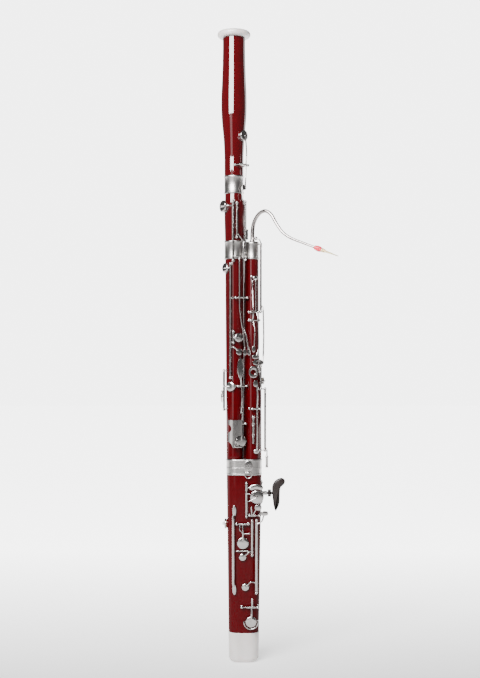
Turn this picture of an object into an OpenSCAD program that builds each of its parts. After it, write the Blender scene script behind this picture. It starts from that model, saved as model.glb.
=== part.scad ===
// Bassoon, upright. Z up, origin at the centre of the boot cap's bottom face.
// -Y is the thumb side, +Y the finger side, +X the wing joint's side.

/* [Boot] */
// Height of the boot cap
cap_h = 63; // [50:1:64]
// Top of the boot's wood, under the band
boot_top = 395; // [390:1:398]
// Radius of the boot's rounded ends just above its cap
boot_r = 20.5; // [20.2:0.1:20.8]

/* [Long joint] */
// Centre line of the bass joint in X
bass_x = -19; // [-19.5:0.1:-18.5]
// Radius of the bass joint just above the boot
bass_r = 17.5; // [17:0.1:17.8]

/* [Wing joint] */
// Centre line of the wing joint in X
wing_x = 18.3; // [18:0.1:18.6]

/* [Bell] */
// Centre line of the bell in X
bell_x = -20.8; // [-21:0.1:-20.5]
// Top of the instrument
bell_top = 1336; // [1330:1:1342]
// Radius of the bell's mouth
mouth_r = 21; // [20:0.1:21.5]

/* [Keywork] */
// Radius of a hinge tube
tube_r = 2.5; // [2.3:0.1:2.6]
// Radius of a pivot rod
pin_r = 1.35; // [1.2:0.05:1.5]
// Radius of a post's ball
ball_r = 3; // [2.8:0.1:3.1]
// Radius of a lever's arm
arm_r = 1.5; // [1.2:0.1:1.6]

/* [Hidden] */
$fn = 64;

wood = [0.47, 0.02, 0.05];
silver = [0.8, 0.8, 0.82];
ivory = [0.88, 0.85, 0.83];
cork = [0.72, 0.55, 0.36];
dark = [0.2, 0.13, 0.11];
cane = [0.86, 0.74, 0.5];
crimson = [0.72, 0.05, 0.1];

// Running clearance of a tube on its rod
fit = 0.05;
// Gap that keeps two solids of one node apart
split = 0.05;
band_top = 429;
// Length of the long joint's lower cone, its radius at the top, and the lip's gap from it
bass_cone_h = 444;
bass_top_r = 20.8;
lip_gap = 0.4;
bass_end = 977;
bell_seat = 1029;

// A point at height z, n from the axis through x = j, facing a degrees round from -Y, and t across
function at(j, a, n, z, t = 0) = [j + t * cos(a) + n * sin(a), t * sin(a) - n * cos(a), z];

// An axle: [axis x, facing, distance out, [across, z] of one end, of the other end, foot distance]
bell_axle = [bell_x, 50, 28.5, [-14, 1050.5], [12, 1050.5], 12];
bell_link_axle = [bass_x, 54.2, 27.7, [0, 856], [0, 972], 19];
thumb_axle = [bass_x, 32, 27.5, [-14.5, 770], [14, 770], 11];
low_b_link_axle = [bass_x, 9.3, 28, [0, 898], [0, 970], 19];
low_b_axle = [bass_x, -7.8, 28, [0, 849], [0, 972], 17];
low_c_sharp_axle = [bass_x, -21.6, 25.3, [0, 602], [0, 842], 15];
low_c_axle = [bass_x, -7.5, 25, [0, 675.5], [0, 699], 15];
low_e_flat_axle = [bass_x, -75, 23.8, [0, 534], [0, 616], 15];
low_d_lever_axle = [bass_x, 34, 26, [-9, 584], [12.5, 584], 11];
low_d_axle = [bass_x, 28, 25.5, [-9, 504.5], [12, 504.5], 11];
whisper_axle = [wing_x, 68.4, 19.04, [0, 741], [0, 884], 10];
high_a_axle = [wing_x, 15, 20.5, [-9.5, 740], [8.3, 740], 9];
high_c_axle = [wing_x, 15, 20.5, [-9.5, 722.5], [8.3, 722.5], 9];
c_sharp_axle = [wing_x, 55, 21.5, [0, 578], [0, 625], 12];
vent_axle = [wing_x, 25, 22, [-10.5, 536], [6.5, 536], 9];
bridge_axle = [wing_x, 83.7, 27.2, [0, 447], [0, 577], 15];
rod_o_axle = [5.5, 0, 28, [0, 310], [0, 380], 18];
low_e_axle = [0, 0, 28, [-15, 294], [9.4, 294], 17];
f_sharp_axle = [0, 0, 27.5, [12, 312], [33, 312], 11];
f_sharp_rod_axle = [17, 0, 27.5, [0, 229], [0, 301], 17];
a_flat_axle = [26, 0, 27, [0, 149.5], [0, 301], 14];
low_f_axle = [0, 0, 27, [-4, 119], [29, 119], 10];
g_axle = [12, 180, 27.5, [0, 204], [0, 340], 17];
side_axle = [-13.5, -150, 27, [0, 232], [0, 306], 18];
f_axle = [12, 180, 27.5, [0, 92], [0, 178], 17];

BELL_AXLES = [bell_axle];
BASS_AXLES = [
    bell_link_axle, thumb_axle, low_b_link_axle, low_b_axle, low_c_sharp_axle, low_c_axle,
    low_e_flat_axle, low_d_lever_axle, low_d_axle
];
WING_AXLES = [whisper_axle, high_a_axle, high_c_axle, c_sharp_axle, vent_axle, bridge_axle];
BOOT_AXLES = [
    rod_o_axle, low_e_axle, f_sharp_axle, f_sharp_rod_axle, a_flat_axle, low_f_axle, g_axle,
    side_axle, f_axle
];

function axle_end(x, i) = at(x[0], x[1], x[2], x[3 + i][1], x[3 + i][0]);
function axle_foot(x, i) = at(x[0], x[1], x[5], x[3 + i][1], x[3 + i][0]);
function toward(a, b, d) = a + d * (b - a) / norm(b - a);

// Pads: [axis x, facing, across, height, cup radius, seat distance, pad distance at rest]
low_b_flat_pad = [bell_x, 50, -1.6, 1112, 11.5, 24.4, 27.4];
low_b_pad = [bass_x, -60, 0, 963, 12.8, 24.2, 27.2];
low_c_sharp_pad = [bass_x, -58, 0, 833, 10.5, 22, 22.3];
low_c_pad = [bass_x, 20, 0, 686, 9.8, 21, 23.5];
low_e_flat_pad = [bass_x, -24, 0, 583, 10.2, 20, 20.3];
low_d_pad = [bass_x, 28, 1, 468, 13, 19.8, 23.4];
high_a_pad = [wing_x, 15, 1, 812, 5.3, 15.2, 15.5];
c_sharp_pad = [wing_x, 95, 0, 594, 8, 20.6, 20.9];
vent_pad = [wing_x, 25, 0, 446, 6, 16.3, 16.6];
pancake_pad = [0, 0, 27.4, 351, 14.5, 23.5, 26];
low_e_pad = [0, 0, -1.9, 254, 12.5, 22.8, 25.3];
f_sharp_pad = [0, 0, -2.6, 224, 8, 22.3, 22.6];
a_flat_pad = [0, 0, 3.2, 161, 8, 22.3, 22.6];
low_f_pad = [0, 0, 14.9, 88, 11.8, 22, 24.5];
g_pad = [0, 180, 6, 320, 11, 22.8, 25.5];
side_pad = [-13.5, -92, 0, 291, 11, 23.1, 23.4];
f_pad = [0, 180, 6, 160, 11, 22.6, 25.3];

// ---------------------------------------------------------------- shared shapes

// Moves to a point and turns +Z to face outward from the joint
module facing(p, a) { translate(p) rotate([0, 0, a]) rotate([90, 0, 0]) children(); }

// A round bar from one point to another
module bar(a, b, r) {
    v = b - a;
    translate(a) rotate([0, acos(v.z / norm(v)), atan2(v.y, v.x)]) cylinder(h = norm(v), r = r);
}

// A bent round arm through the points, with a ball at each bend and at its far end
module arm(pts, r = arm_r) {
    last = len(pts) - 1;
    for (i = [1:last]) {
        bar(pts[i - 1], pts[i], r);
        way_in = (pts[i] - pts[i - 1]) / norm(pts[i] - pts[i - 1]);
        way_out = i < last ? (pts[i + 1] - pts[i]) / norm(pts[i + 1] - pts[i]) : way_in;
        arm_ball(pts[i], way_in, way_out, r + 0.15);
    }
}

// A ball whose seam lies on the outside of the bend, clear of both bars
module arm_ball(p, way_in, way_out, r) {
    turn = cross(way_out, way_in);
    z = norm(turn) > 0.01 ? turn / norm(turn) : square_to(way_in);
    x = cross(z, way_in + way_out) / norm(way_in + way_out);
    y = cross(z, x);
    multmatrix([[x.x, y.x, z.x, p.x], [x.y, y.y, z.y, p.y], [x.z, y.z, z.z, p.z]]) sphere(r = r);
}
function square_to(v) = let (c = cross(v, abs(v.z) < 0.9 ? [0, 0, 1] : [1, 0, 0])) c / norm(c);

// An oval plate that faces outward
module plate(p, a, w, h, t = 1.8) {
    facing(p, a) linear_extrude(t) polygon([for (k = [0:15:345]) [w / 2 * cos(k), h / 2 * sin(k)]]);
}

// A key cup with its pad, the pad's face at the pad's point
module pad_cup(p) {
    r = p[4];
    facing(at(p[0], p[1], p[6], p[3], p[2]), p[1]) {
        rotate_extrude() polygon([
            [0, 2.2 + split], [r - 0.9, 2.2 + split], [r - 0.9, 0.7], [r, 0.7],
            [r, 2.9], [r - 1.4, 4], [0, 4.6]
        ]);
        cylinder(r = r - 0.95, h = 2.2);
    }
}

// A point over the middle of a key cup, and the boss that joins the cup to an arm there
function over_cup(p, h) = at(p[0], p[1], p[6] + h, p[3], p[2]);
module cup_boss(p, h) { bar(over_cup(p, 3), over_cup(p, h + 2.1), 2.7); }

// The wooden seat under a pad, and the tone hole through it
module seat(p) { facing(at(p[0], p[1], p[5] - 7, p[3], p[2]), p[1]) cylinder(r = p[4] - 1.6, h = 7); }
module tone_hole(p) {
    facing(at(p[0], p[1], 3, p[3], p[2]), p[1]) cylinder(r = (p[4] - 1.6) * 0.62, h = 30);
}

// A ball post at each end of an axle
module posts(x) {
    for (i = [0, 1]) {
        bar(axle_foot(x, i), axle_end(x, i), 1.8);
        translate(axle_end(x, i)) sphere(r = ball_r);
    }
}

module pivot_rod(x) {
    a = axle_end(x, 0);
    b = axle_end(x, 1);
    bar(toward(a, b, -ball_r - 0.6), toward(b, a, -ball_r - 0.6), pin_r);
}

// A key: its hinge tube from f0 to f1 of the axle's length, its arms, and the running bore
module key(x, f0 = 0, f1 = 1) {
    a = axle_end(x, 0);
    b = axle_end(x, 1);
    n = norm(b - a);
    end_gap = ball_r + 0.2;
    from = toward(a, b, max(end_gap, n * f0));
    to = toward(b, a, max(end_gap, n * (1 - f1)));
    difference() {
        union() {
            bar(from, to, tube_r);
            children();
        }
        bar(toward(a, b, -6), toward(b, a, -6), pin_r + fit);
    }
}

module silver() { color(silver) children(); }

// ---------------------------------------------------------------- bell

module bell_body() {
    color(wood) difference() {
        union() {
            translate([bell_x, 0, 0]) rotate_extrude() polygon([
                [0, bell_seat], [20.2, bell_seat], [20.3, 1070], [22, 1106], [24.2, 1128],
                [25.8, 1145], [26.9, 1164], [27.2, 1183], [26.8, 1205], [25.8, 1225],
                [24.3, 1265], [23.8, 1300], [23.8, 1322], [0, 1322]
            ]);
            seat(low_b_flat_pad);
        }
        translate([bell_x, 0, bell_seat - 1]) cylinder(r1 = 14, r2 = 18, h = 290);
        translate([bell_x, 0, 1300]) cylinder(r = mouth_r, h = 30);
        tone_hole(low_b_flat_pad);
    }
}

module bell_ring() {
    color(ivory) translate([bell_x, 0, 0]) rotate_extrude() polygon(concat(
        [[mouth_r, 1322 + split], [29, 1322 + split]],
        [for (k = [-60:20:60]) [30 + 5 * cos(k), 1329 + 6.5 * sin(k)]],
        [[29, bell_top], [mouth_r, bell_top]]
    ));
}

module bell_ferrule() {
    silver() translate([bell_x, 0, 0]) rotate_extrude() polygon([
        [15.5, 991], [20.3, 991], [20.9, 992], [20.9, 994], [20.3, 995], [20.3, 1025],
        [20.9, 1026], [20.9, 1028], [20.3, bell_seat - split], [15.5, bell_seat - split]
    ]);
}

// ---------------------------------------------------------------- long joint

module bass_joint() {
    color(wood) difference() {
        union() {
            translate([bass_x, 0, 0]) {
                translate([0, 0, band_top]) cylinder(r1 = bass_r, r2 = bass_top_r, h = bass_cone_h);
                translate([0, 0, 873]) cylinder(r1 = bass_top_r, r2 = 23, h = bass_end - 873);
                translate([0, 0, 397]) cylinder(r = 12.5, h = 38);
            }
            translate([bell_x, 0, bass_end - 1]) cylinder(r = 19.3, h = 15 - split);
            translate([bell_x, 0, bass_end - 1]) cylinder(r = 13.5, h = 45);
            for (p = [low_b_pad, low_c_sharp_pad, low_c_pad, low_e_flat_pad, low_d_pad]) seat(p);
        }
        translate([bass_x - 0.9, 0, 390]) cylinder(r1 = 9, r2 = 12, h = 660);
        for (p = [low_b_pad, low_c_sharp_pad, low_c_pad, low_e_flat_pad, low_d_pad]) tone_hole(p);
        translate([bass_x, 0, 852]) difference() {
            cylinder(r = 30, h = 39);
            translate([0, 0, -1]) cylinder(r = 20, h = 41);
        }
    }
}

module bass_band() {
    silver() translate([bass_x, 0, 0]) rotate_extrude() polygon([
        [20 + split, 852.1], [21.6, 852.1], [22.3, 853], [22.3, 855], [21.6, 856], [21.6, 887],
        [22.3, 888], [22.3, 890], [21.6, 890.9], [20 + split, 890.9]
    ]);
}

module wing_joint() {
    color(wood) difference() {
        union() {
            translate([wing_x, 0, band_top]) cylinder(r1 = 15, r2 = 13.4, h = 852 - band_top);
            translate([wing_x, 0, 397]) cylinder(r = 10.5, h = 38);
            translate([wing_x, 0, 851]) cylinder(r = 11, h = 35);
            hull() {
                translate([24.5, 7, band_top]) cylinder(r = 13.2, h = 130, $fn = 48);
                translate([19.6, 1.6, 690]) cylinder(r = 12.5, h = 4, $fn = 48);
            }
            for (p = [high_a_pad, c_sharp_pad, vent_pad]) seat(p);
            wing_lip();
        }
        translate([wing_x, 0, 390]) cylinder(r = 4, h = 470);
        translate([wing_x, 0, 852]) cylinder(r = 5.4, h = 40);
        for (p = [high_a_pad, vent_pad]) facing(at(p[0], p[1], 3, p[3], p[2]), p[1])
            cylinder(r = 2.2, h = 30);
        for (z = FINGER_HOLES) finger_hole(z, FINGER_TUBE_R + fit, 24);
    }
}

// The thin lip that closes the space to the long joint, hollowed to that joint's round
module wing_lip() {
    slope = (bass_top_r - bass_r) / bass_cone_h;
    difference() {
        translate([-6, 2, band_top]) cube([15.5, 7, 851 - band_top]);
        translate([bass_x, 0, band_top - 10])
            cylinder(r1 = bass_r + lip_gap - 10 * slope, r2 = bass_top_r + lip_gap, h = bass_cone_h + 10);
    }
}

// Heights of the three finger holes in the wing's thick side, and the radius of their tubes
FINGER_HOLES = [470, 512, 552];
FINGER_TUBE_R = 4.4;
module finger_hole(z, r, h) { facing(at(24.5, 145, 17.5 - h, z), 145) cylinder(r = r, h = h); }

module finger_hole_tubes() {
    silver() for (z = FINGER_HOLES) difference() {
        finger_hole(z, FINGER_TUBE_R, 12);
        facing(at(24.5, 145, 4, z), 145) cylinder(r = 3.2, h = 16);
    }
}

module wing_cap() {
    silver() translate([wing_x, 0, 0]) rotate_extrude() polygon([
        [11 + split, 852 + split], [13.8, 852.1], [14.3, 853], [14.3, 855], [13.5, 856],
        [13.5, 884], [13.9, 886], [13, 889.5], [6.2, 889.5], [6.2, 886.2], [11 + split, 886.2]
    ]);
}

module tenon_corks() {
    color(cork) {
        translate([bell_x, 0, 996]) tube(15.4, 13.5 + split, 24);
        translate([bass_x, 0, 400]) tube(14.4, 12.5 + split, 24);
        translate([wing_x, 0, 400]) tube(12.4, 10.5 + split, 24);
    }
}

module tube(outer, inner, h) {
    difference() {
        cylinder(r = outer, h = h);
        translate([0, 0, -1]) cylinder(r = inner, h = h + 2);
    }
}

// ---------------------------------------------------------------- boot

// The boot's oval: two tapering rounds blended into one
module boot_shape(z0, z1, grow = 0) {
    hull() for (z = [z0, z1]) {
        s = (z - cap_h) / (boot_top - cap_h);
        for (x = [-11.5 - 3 * s, 11.5 + 4.5 * s])
            translate([x, 0, z - (z == z1 ? 0.1 : 0)])
                cylinder(r = boot_r + 1.3 * s + grow, h = 0.1, $fn = 72);
    }
}

module boot_body() {
    pads = [pancake_pad, low_e_pad, f_sharp_pad, a_flat_pad, low_f_pad, g_pad, side_pad, f_pad];
    color(wood) difference() {
        union() {
            boot_shape(cap_h + split, 426);
            for (p = pads) seat(p);
        }
        for (x = [-13, 15]) translate([x, 0, cap_h - 1]) cylinder(r = 7, h = 370);
        translate([bass_x, 0, 396]) cylinder(r = 14.6, h = 60);
        translate([wing_x, 0, 396]) cylinder(r = 12.6, h = 60);
        difference() {
            translate([-60, -40, boot_top]) cube([120, 80, 40]);
            boot_shape(boot_top - 2, 440, -1.5);
        }
        for (p = pads) facing(at(p[0], p[1], 8, p[3], p[2]), p[1]) cylinder(r = p[4] * 0.5, h = 30);
    }
}

module boot_band() {
    silver() difference() {
        union() {
            boot_shape(boot_top + split, band_top - split, 0.2);
            for (z = [396, 409, 425]) boot_shape(z, z + 3, 0.9);
        }
        boot_shape(boot_top - 4, band_top - 2.8, -1.45);
        translate([bass_x, 0, 400]) cylinder(r = 14.6, h = 60);
        translate([wing_x, 0, 400]) cylinder(r = 12.6, h = 60);
    }
}

module boot_cap() {
    color(ivory) difference() {
        hull() {
            for (x = [-10.5, 10.5]) translate([x, 0, 0]) cylinder(r = 16.5, h = 2, $fn = 72);
            for (x = [-11.5, 11.5]) translate([x, 0, 7]) cylinder(r = 20, h = 2, $fn = 72);
            for (x = [-11.6, 11.6]) translate([x, 0, cap_h - 2]) cylinder(r = 21, h = 2, $fn = 72);
        }
        hull() for (x = [-11.5, 11.5]) translate([x, 0, 4]) cylinder(r = 18.3, h = 70, $fn = 48);
    }
}

module u_tube() {
    silver() difference() {
        union() {
            u_bend(8);
            for (x = [-13, 15]) translate([x, 0, 39.4]) cylinder(r = 8.4, h = 17.5);
            translate([-13, -8, 54]) cube([28, 16, 3]);
        }
        u_bend(7);
        for (x = [-13, 15]) translate([x, 0, 39.5]) cylinder(r = 7.2, h = 20);
    }
}

module u_bend(r) {
    translate([1, 0, 40]) rotate([90, 0, 0]) rotate_extrude(angle = -180) translate([14, 0]) circle(r = r);
}

module u_tube_gasket() {
    color(cork) difference() {
        hull() for (x = [-11.5, 11.5]) translate([x, 0, 57.2]) cylinder(r = 17.8, h = 5.6, $fn = 48);
        for (x = [-13, 15]) translate([x, 0, 50]) cylinder(r = 7, h = 20);
    }
}

// ---------------------------------------------------------------- posts, rods and guards

module bell_posts() { silver() for (x = BELL_AXLES) posts(x); }
module bass_posts() { silver() for (x = BASS_AXLES) posts(x); }
module wing_posts() {
    silver() {
        for (x = WING_AXLES) posts(x);
        for (z = LOCK_GUIDES) lock_guide(z);
    }
}
module boot_posts() { silver() for (x = BOOT_AXLES) posts(x); }
module pivot_rods() {
    silver() for (g = [BELL_AXLES, BASS_AXLES, WING_AXLES, BOOT_AXLES]) for (x = g) pivot_rod(x);
}

// A curved guard plate with a scalloped edge, a rolled lip at its foot and three studs
module bass_guard() {
    silver() {
        translate([bass_x, 0, 455]) rotate([0, 0, -116]) {
            difference() {
                rotate_extrude(angle = 55) translate([31.6, 0]) square([1.3, 58]);
                for (c = [[46, 14, 11], [-2, 40, 9], [-6, 0, 13]]) rotate([0, 0, c[0]])
                    translate([32, 0, c[1]]) rotate([0, 90, 0]) cylinder(r = c[2], h = 8, center = true);
            }
            rotate([0, 0, 24]) rotate_extrude(angle = 28) translate([32.4, 1.4]) circle(r = 1.9);
        }
        for (stud = [[-4, 459], [-24, 477], [-24, 508.5]])
            bar(at(bass_x, stud[0], 15, stud[1]), at(bass_x, stud[0], 32, stud[1]), 1.6);
    }
}

module boot_guards() {
    silver() {
        bar([-22, -27, 166], [-22, -27, 312], 2.6);
        for (z = [156, 322]) {
            plate([-20, -24.5, z], 0, 7.6, 22);
            bar([-20, -17, z], [-20, -25, z], 2);
        }
        for (z = [170, 308]) bar([-22, -16, z], [-22, -27, z], 2);
        arm([[-15, -25.5, 237], [10, -25.5, 237]], 1.8);
        for (x = [-14, 9]) bar([x, -17, 237], [x, -25.5, 237], 1.6);
        low_f_guard();
    }
}

// A wire hoop round the lower half of the low F cup
module low_f_guard() {
    p = [14.9, -27.5, 88];
    facing(p, 0) rotate_extrude(angle = -180) translate([14.6, 0]) circle(r = 1.4);
    for (s = [-1, 1]) bar([p.x + 14.6 * s, -12, 88.5], [p.x + 14.6 * s, -27.5, 88.5], 1.5);
    bar([p.x, -16, 73.4], [p.x, -27.5, 73.4], 1.4);
}

module body_lock() {
    color(dark) {
        translate([7.2, -11.5, 893]) cylinder(r = 2.3, h = 22);
        bar([7.2, -11.5, 904], [-3, -4, 904], 1.6);
    }
}

module strap_plate() {
    silver() difference() {
        union() {
            plate([9.5, -21.5, 414], 0, 18, 26, 2.6);
            bar([9.5, -22, 402], [9.5, -30, 402], 2.6);
        }
        bar([2, -27.6, 402], [17, -27.6, 402], 1.5);
    }
}

// The ring hangs in the plate's eye
module strap_ring() {
    silver() {
        bar([3, -27.6, 402], [16, -27.6, 402], 1.42);
        for (x = [3, 16]) bar([x, -27.6, 402.6], [x, -27.6, 397], 1.42);
        translate([9.5, -27.6, 397]) rotate([90, 0, 0]) rotate_extrude(angle = -180) translate([6.5, 0])
            circle(r = 1.42);
    }
}

// ---------------------------------------------------------------- hand rest

rest_z = 355.8;
module handrest_socket() {
    silver() difference() {
        union() {
            bar([33, 0, rest_z], [49, 0, rest_z], 4.6);
            translate([36.2, -5, 333]) cube([3, 10, 50]);
            for (z = [338, 378]) bar([30, 0, z], [40.4, 0, z], 2.2);
        }
        bar([38.4, 0, rest_z], [52, 0, rest_z], 2.9 + fit);
    }
}

module crutch() {
    color(dark) {
        bar([39.4, 0, rest_z], [64, 0, rest_z], 2.9);
        translate([0, 4.5, 0]) rotate([90, 0, 0]) linear_extrude(9) polygon([
            [60, 364], [60.5, 371], [65, 380], [72, 385.5], [80, 388], [86, 385], [87.8, 379.5],
            [85, 373.5], [79, 368.5], [77, 362], [76.6, 348], [76.3, 335], [73.5, 326],
            [67.6, 317.6], [64.6, 323], [62.5, 336], [60.6, 350]
        ]);
    }
}

module crutch_screw() {
    color(dark) difference() {
        union() {
            bar([51, 0, rest_z], [58, 0, rest_z], 6.8);
            for (k = [0:30:330]) rotate_about_rest(k) bar([51, 6.8, rest_z], [58, 6.8, rest_z], 1);
        }
        bar([49, 0, rest_z], [60, 0, rest_z], 2.9 + fit);
    }
}

module rotate_about_rest(k) {
    translate([0, 0, rest_z]) rotate([k, 0, 0]) translate([0, 0, -rest_z]) children();
}

// ---------------------------------------------------------------- bocal and reed

bocal_x = wing_x;
// Route of the bocal: across in its own plane, and height
BOCAL = [
    [0, 896], [0.4, 912], [2.6, 926], [9, 940], [18.5, 950], [29.5, 953.5], [39, 950], [47, 942],
    [54, 930], [62, 918], [72, 906], [86, 896], [101, 889], [117, 883], [135, 876], [152, 869.5]
];
// How far the bocal's plane is turned toward the player
bocal_turn = 28;
function bocal_at(p) = [bocal_x + p[0] * cos(bocal_turn), -p[0] * sin(bocal_turn), p[1]];
function bocal_r(i) = 4.5 - 2.1 * i / (len(BOCAL) - 1);

module bocal_tube() {
    silver() difference() {
        union() {
            translate([bocal_x, 0, 866]) cylinder(r = 3.8, h = 31);
            translate([bocal_x, 0, 890]) cylinder(r = 5.6, h = 2.5);
            for (i = [0:len(BOCAL) - 2]) bocal_piece(i);
            bar([bocal_x + 1.8, -2.4, 896], [bocal_x + 5.5, -7.35, 896], 1.6);
        }
        translate([bocal_x, 0, 860]) cylinder(r = 2.6, h = 34);
    }
}

module bocal_piece(i) {
    a = bocal_at(BOCAL[i]);
    b = bocal_at(BOCAL[i + 1]);
    v = b - a;
    translate(a) rotate([0, acos(v.z / norm(v)), atan2(v.y, v.x)])
        cylinder(h = norm(v), r1 = bocal_r(i), r2 = bocal_r(i + 1));
    translate(b) sphere(r = bocal_r(i + 1) + 0.1);
}

module bocal_cork() { color(cork) translate([bocal_x, 0, 866]) tube(5.3, 3.8 + split, 19); }

// The reed sits on the bocal's tip and lies along its last stretch
reed_from = bocal_at(BOCAL[len(BOCAL) - 1]);
reed_way = (reed_from - bocal_at(BOCAL[len(BOCAL) - 2])) / norm(reed_from - bocal_at(BOCAL[len(BOCAL) - 2]));
module on_reed() {
    translate(reed_from) rotate([0, acos(reed_way.z), atan2(reed_way.y, reed_way.x)]) children();
}

module reed_cane() {
    color(cane) on_reed() difference() {
        union() {
            translate([0, 0, -8]) cylinder(r = 3.6, h = 22);
            translate([0, 0, 13.9]) hull() {
                cylinder(r = 3.6, h = 1, $fn = 32);
                translate([0, 0, 32]) scale([0.14, 1, 1]) cylinder(r = 7.4, h = 1, $fn = 48);
            }
        }
        translate([0, 0, -9]) cylinder(r = 2.65, h = 14);
    }
}

module reed_wires() {
    color(cane) on_reed() for (z = [11.5, 15.5]) translate([0, 0, z]) rotate_extrude() translate([4.3, 0])
        circle(r = 0.5);
}

module reed_thread() {
    color(crimson) on_reed() rotate_extrude() polygon([
        [3.6 + split, -7.8], [4.3, -7.8], [5.2, -4], [6, -0.5], [6.1, 3], [5.3, 6.5], [4.2, 9],
        [3.6 + split, 9]
    ]);
}

// ---------------------------------------------------------------- keys of the bell and long joint

module low_b_flat_key() {
    silver() key(bell_axle, 0.1, 0.9) {
        pad_cup(low_b_flat_pad);
        arm([at(bell_x, 50, 29.5, 1050.5, 4.6), at(bell_x, 50, 31, 1078, 4.6),
             at(bell_x, 50, 32.2, 1104, 0)]);
        arm([at(bell_x, 50, 32.2, 1104, 0), at(bell_x, 50, 31.6, 1112, -1.6)]);
        arm([at(bell_x, 50, 29.5, 1050.5, 4.6), at(bell_x, 50, 28.8, 1003, 3)]);
        plate(at(bell_x, 50, 27.3, 1003, 0), 50, 13, 12);
    }
}

module bell_link_rod() {
    silver() key(bell_link_axle) {
        arm([at(bass_x, 54.2, 27.7, 964), at(bass_x, 54.2, 26.8, 971, -6.5),
             at(bass_x, 54.2, 23.4, 1003, -6.5)], 1.3);
        arm([at(bass_x, 54.2, 27.7, 864), at(bass_x, 54.2, 31.8, 864, -2.2),
             at(bass_x, 54.2, 31.8, 864, -7.5)], 1.3);
    }
}

module low_b_flat_lever() {
    silver() key(thumb_axle, 0.51, 0.86) {
        arm([at(bass_x, 32, 28, 890, 4.5), at(bass_x, 32, 28.5, 709, 4.5), at(bass_x, 32, 33, 692, 7.2),
             at(bass_x, 32, 35.5, 660, 12)], 1.7);
        plate(at(bass_x, 32, 35.6, 655, 12.2), 32, 8, 13);
    }
}

module low_b_lever() {
    silver() key(thumb_axle, 0.14, 0.48) {
        arm([at(bass_x, 32, 28, 857, -6.1), at(bass_x, 32, 28.3, 748, -5.6), at(bass_x, 32, 32, 716, -3),
             at(bass_x, 32, 34.2, 696, 0), at(bass_x, 32, 35.5, 661, 2.6)], 1.7);
        plate(at(bass_x, 32, 35.6, 655, 2.6), 32, 8, 13);
    }
}

module low_b_link_rod() {
    silver() key(low_b_link_axle) {
        arm([at(bass_x, 9.3, 28, 908), at(bass_x, 9.3, 28.9, 893, 10), at(bass_x, 9.3, 28.9, 887, 16)], 1.3);
    }
}

module low_b_key() {
    silver() key(low_b_axle) {
        pad_cup(low_b_pad);
        cup_boss(low_b_pad, 6.3);
        arm([at(bass_x, -7.8, 28, 963), at(bass_x, -22, 35.5, 963), at(bass_x, -42, 36, 963),
             over_cup(low_b_pad, 6.3)]);
        arm([at(bass_x, -7.8, 28, 860), at(bass_x, 2, 33.4, 858), at(bass_x, 21, 33.4, 856)], 1.4);
    }
}

module low_c_sharp_key() {
    silver() key(low_c_sharp_axle) {
        pad_cup(low_c_sharp_pad);
        arm([at(bass_x, -21.6, 25.3, 833), at(bass_x, -38, 29, 833), at(bass_x, -56, 26.6, 833)]);
        arm([at(bass_x, -21.6, 25.3, 666), at(bass_x, -4, 28.8, 666), at(bass_x, 14, 28.4, 659)]);
        plate(at(bass_x, 19.6, 27.4, 656), 19.6, 14, 14);
    }
}

module low_c_key() {
    silver() key(low_c_axle) {
        pad_cup(low_c_pad);
        cup_boss(low_c_pad, 6.2);
        arm([at(bass_x, -7.5, 25, 686), at(bass_x, -4, 31, 686), at(bass_x, 8, 31, 686),
             over_cup(low_c_pad, 6.2)], 1.3);
    }
}

module low_e_flat_key() {
    silver() key(low_e_flat_axle) {
        pad_cup(low_e_flat_pad);
        arm([at(bass_x, -75, 24.2, 583.4), at(bass_x, -50, 28, 583), at(bass_x, -29, 25, 583)], 1.4);
        arm([at(bass_x, -75, 24.2, 560), at(bass_x, -102, 29.5, 560)], 1.4);
        plate(at(bass_x, -112, 28.6, 560.5), -112, 12, 26);
    }
}

module low_d_lever() {
    silver() key(low_d_lever_axle, 0.2, 0.8) {
        arm([at(bass_x, 34, 26, 584, -1), at(bass_x, 34, 29, 600, -4)], 1.8);
        arm([at(bass_x, 34, 26, 584, 0.5), at(bass_x, 34, 26.5, 556, 0.5),
             at(bass_x, 34, 23.6, 527, 0.5)], 1.8);
        plate(at(bass_x, 34, 28.6, 621, -5.5), 34, 17, 44);
        translate(at(bass_x, 34, 27, 540, 0.5)) sphere(r = 3);
    }
}

module low_d_key() {
    silver() key(low_d_axle, 0.2, 0.8) {
        pad_cup(low_d_pad);
        arm([at(bass_x, 28, 25.5, 504.5, 1), at(bass_x, 28, 28.6, 486, 1),
             at(bass_x, 28, 27.8, 470, 1)], 1.8);
        arm([at(bass_x, 28, 25.5, 504.5, 2.6), at(bass_x, 28, 28.2, 514, 2.6),
             at(bass_x, 28, 28.9, 528, 3)], 1.5);
    }
}

// ---------------------------------------------------------------- keys of the wing joint

whisper_pad = [bocal_x, 36.9, 0, 896, 3.9, 9.2, 10.8];
module whisper_key() {
    silver() key(whisper_axle) {
        pad_cup(whisper_pad);
        arm([[36, -7, 872], [37.5, -12.5, 880], [33, -14.5, 893], [27, -12, 896]], 1.3);
        arm([[36, -7, 753], [40.5, -12.5, 749], [42, -16.5, 692], [41, -20.5, 648], [39.5, -22.5, 637]], 1.7);
        difference() {
            plate([30, -23, 633.5], 20, 25, 12, 2);
            facing([30, -24, 633.5], 20) translate([0, 0, -3]) cylinder(r = 3.2, h = 8);
        }
    }
}

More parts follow.
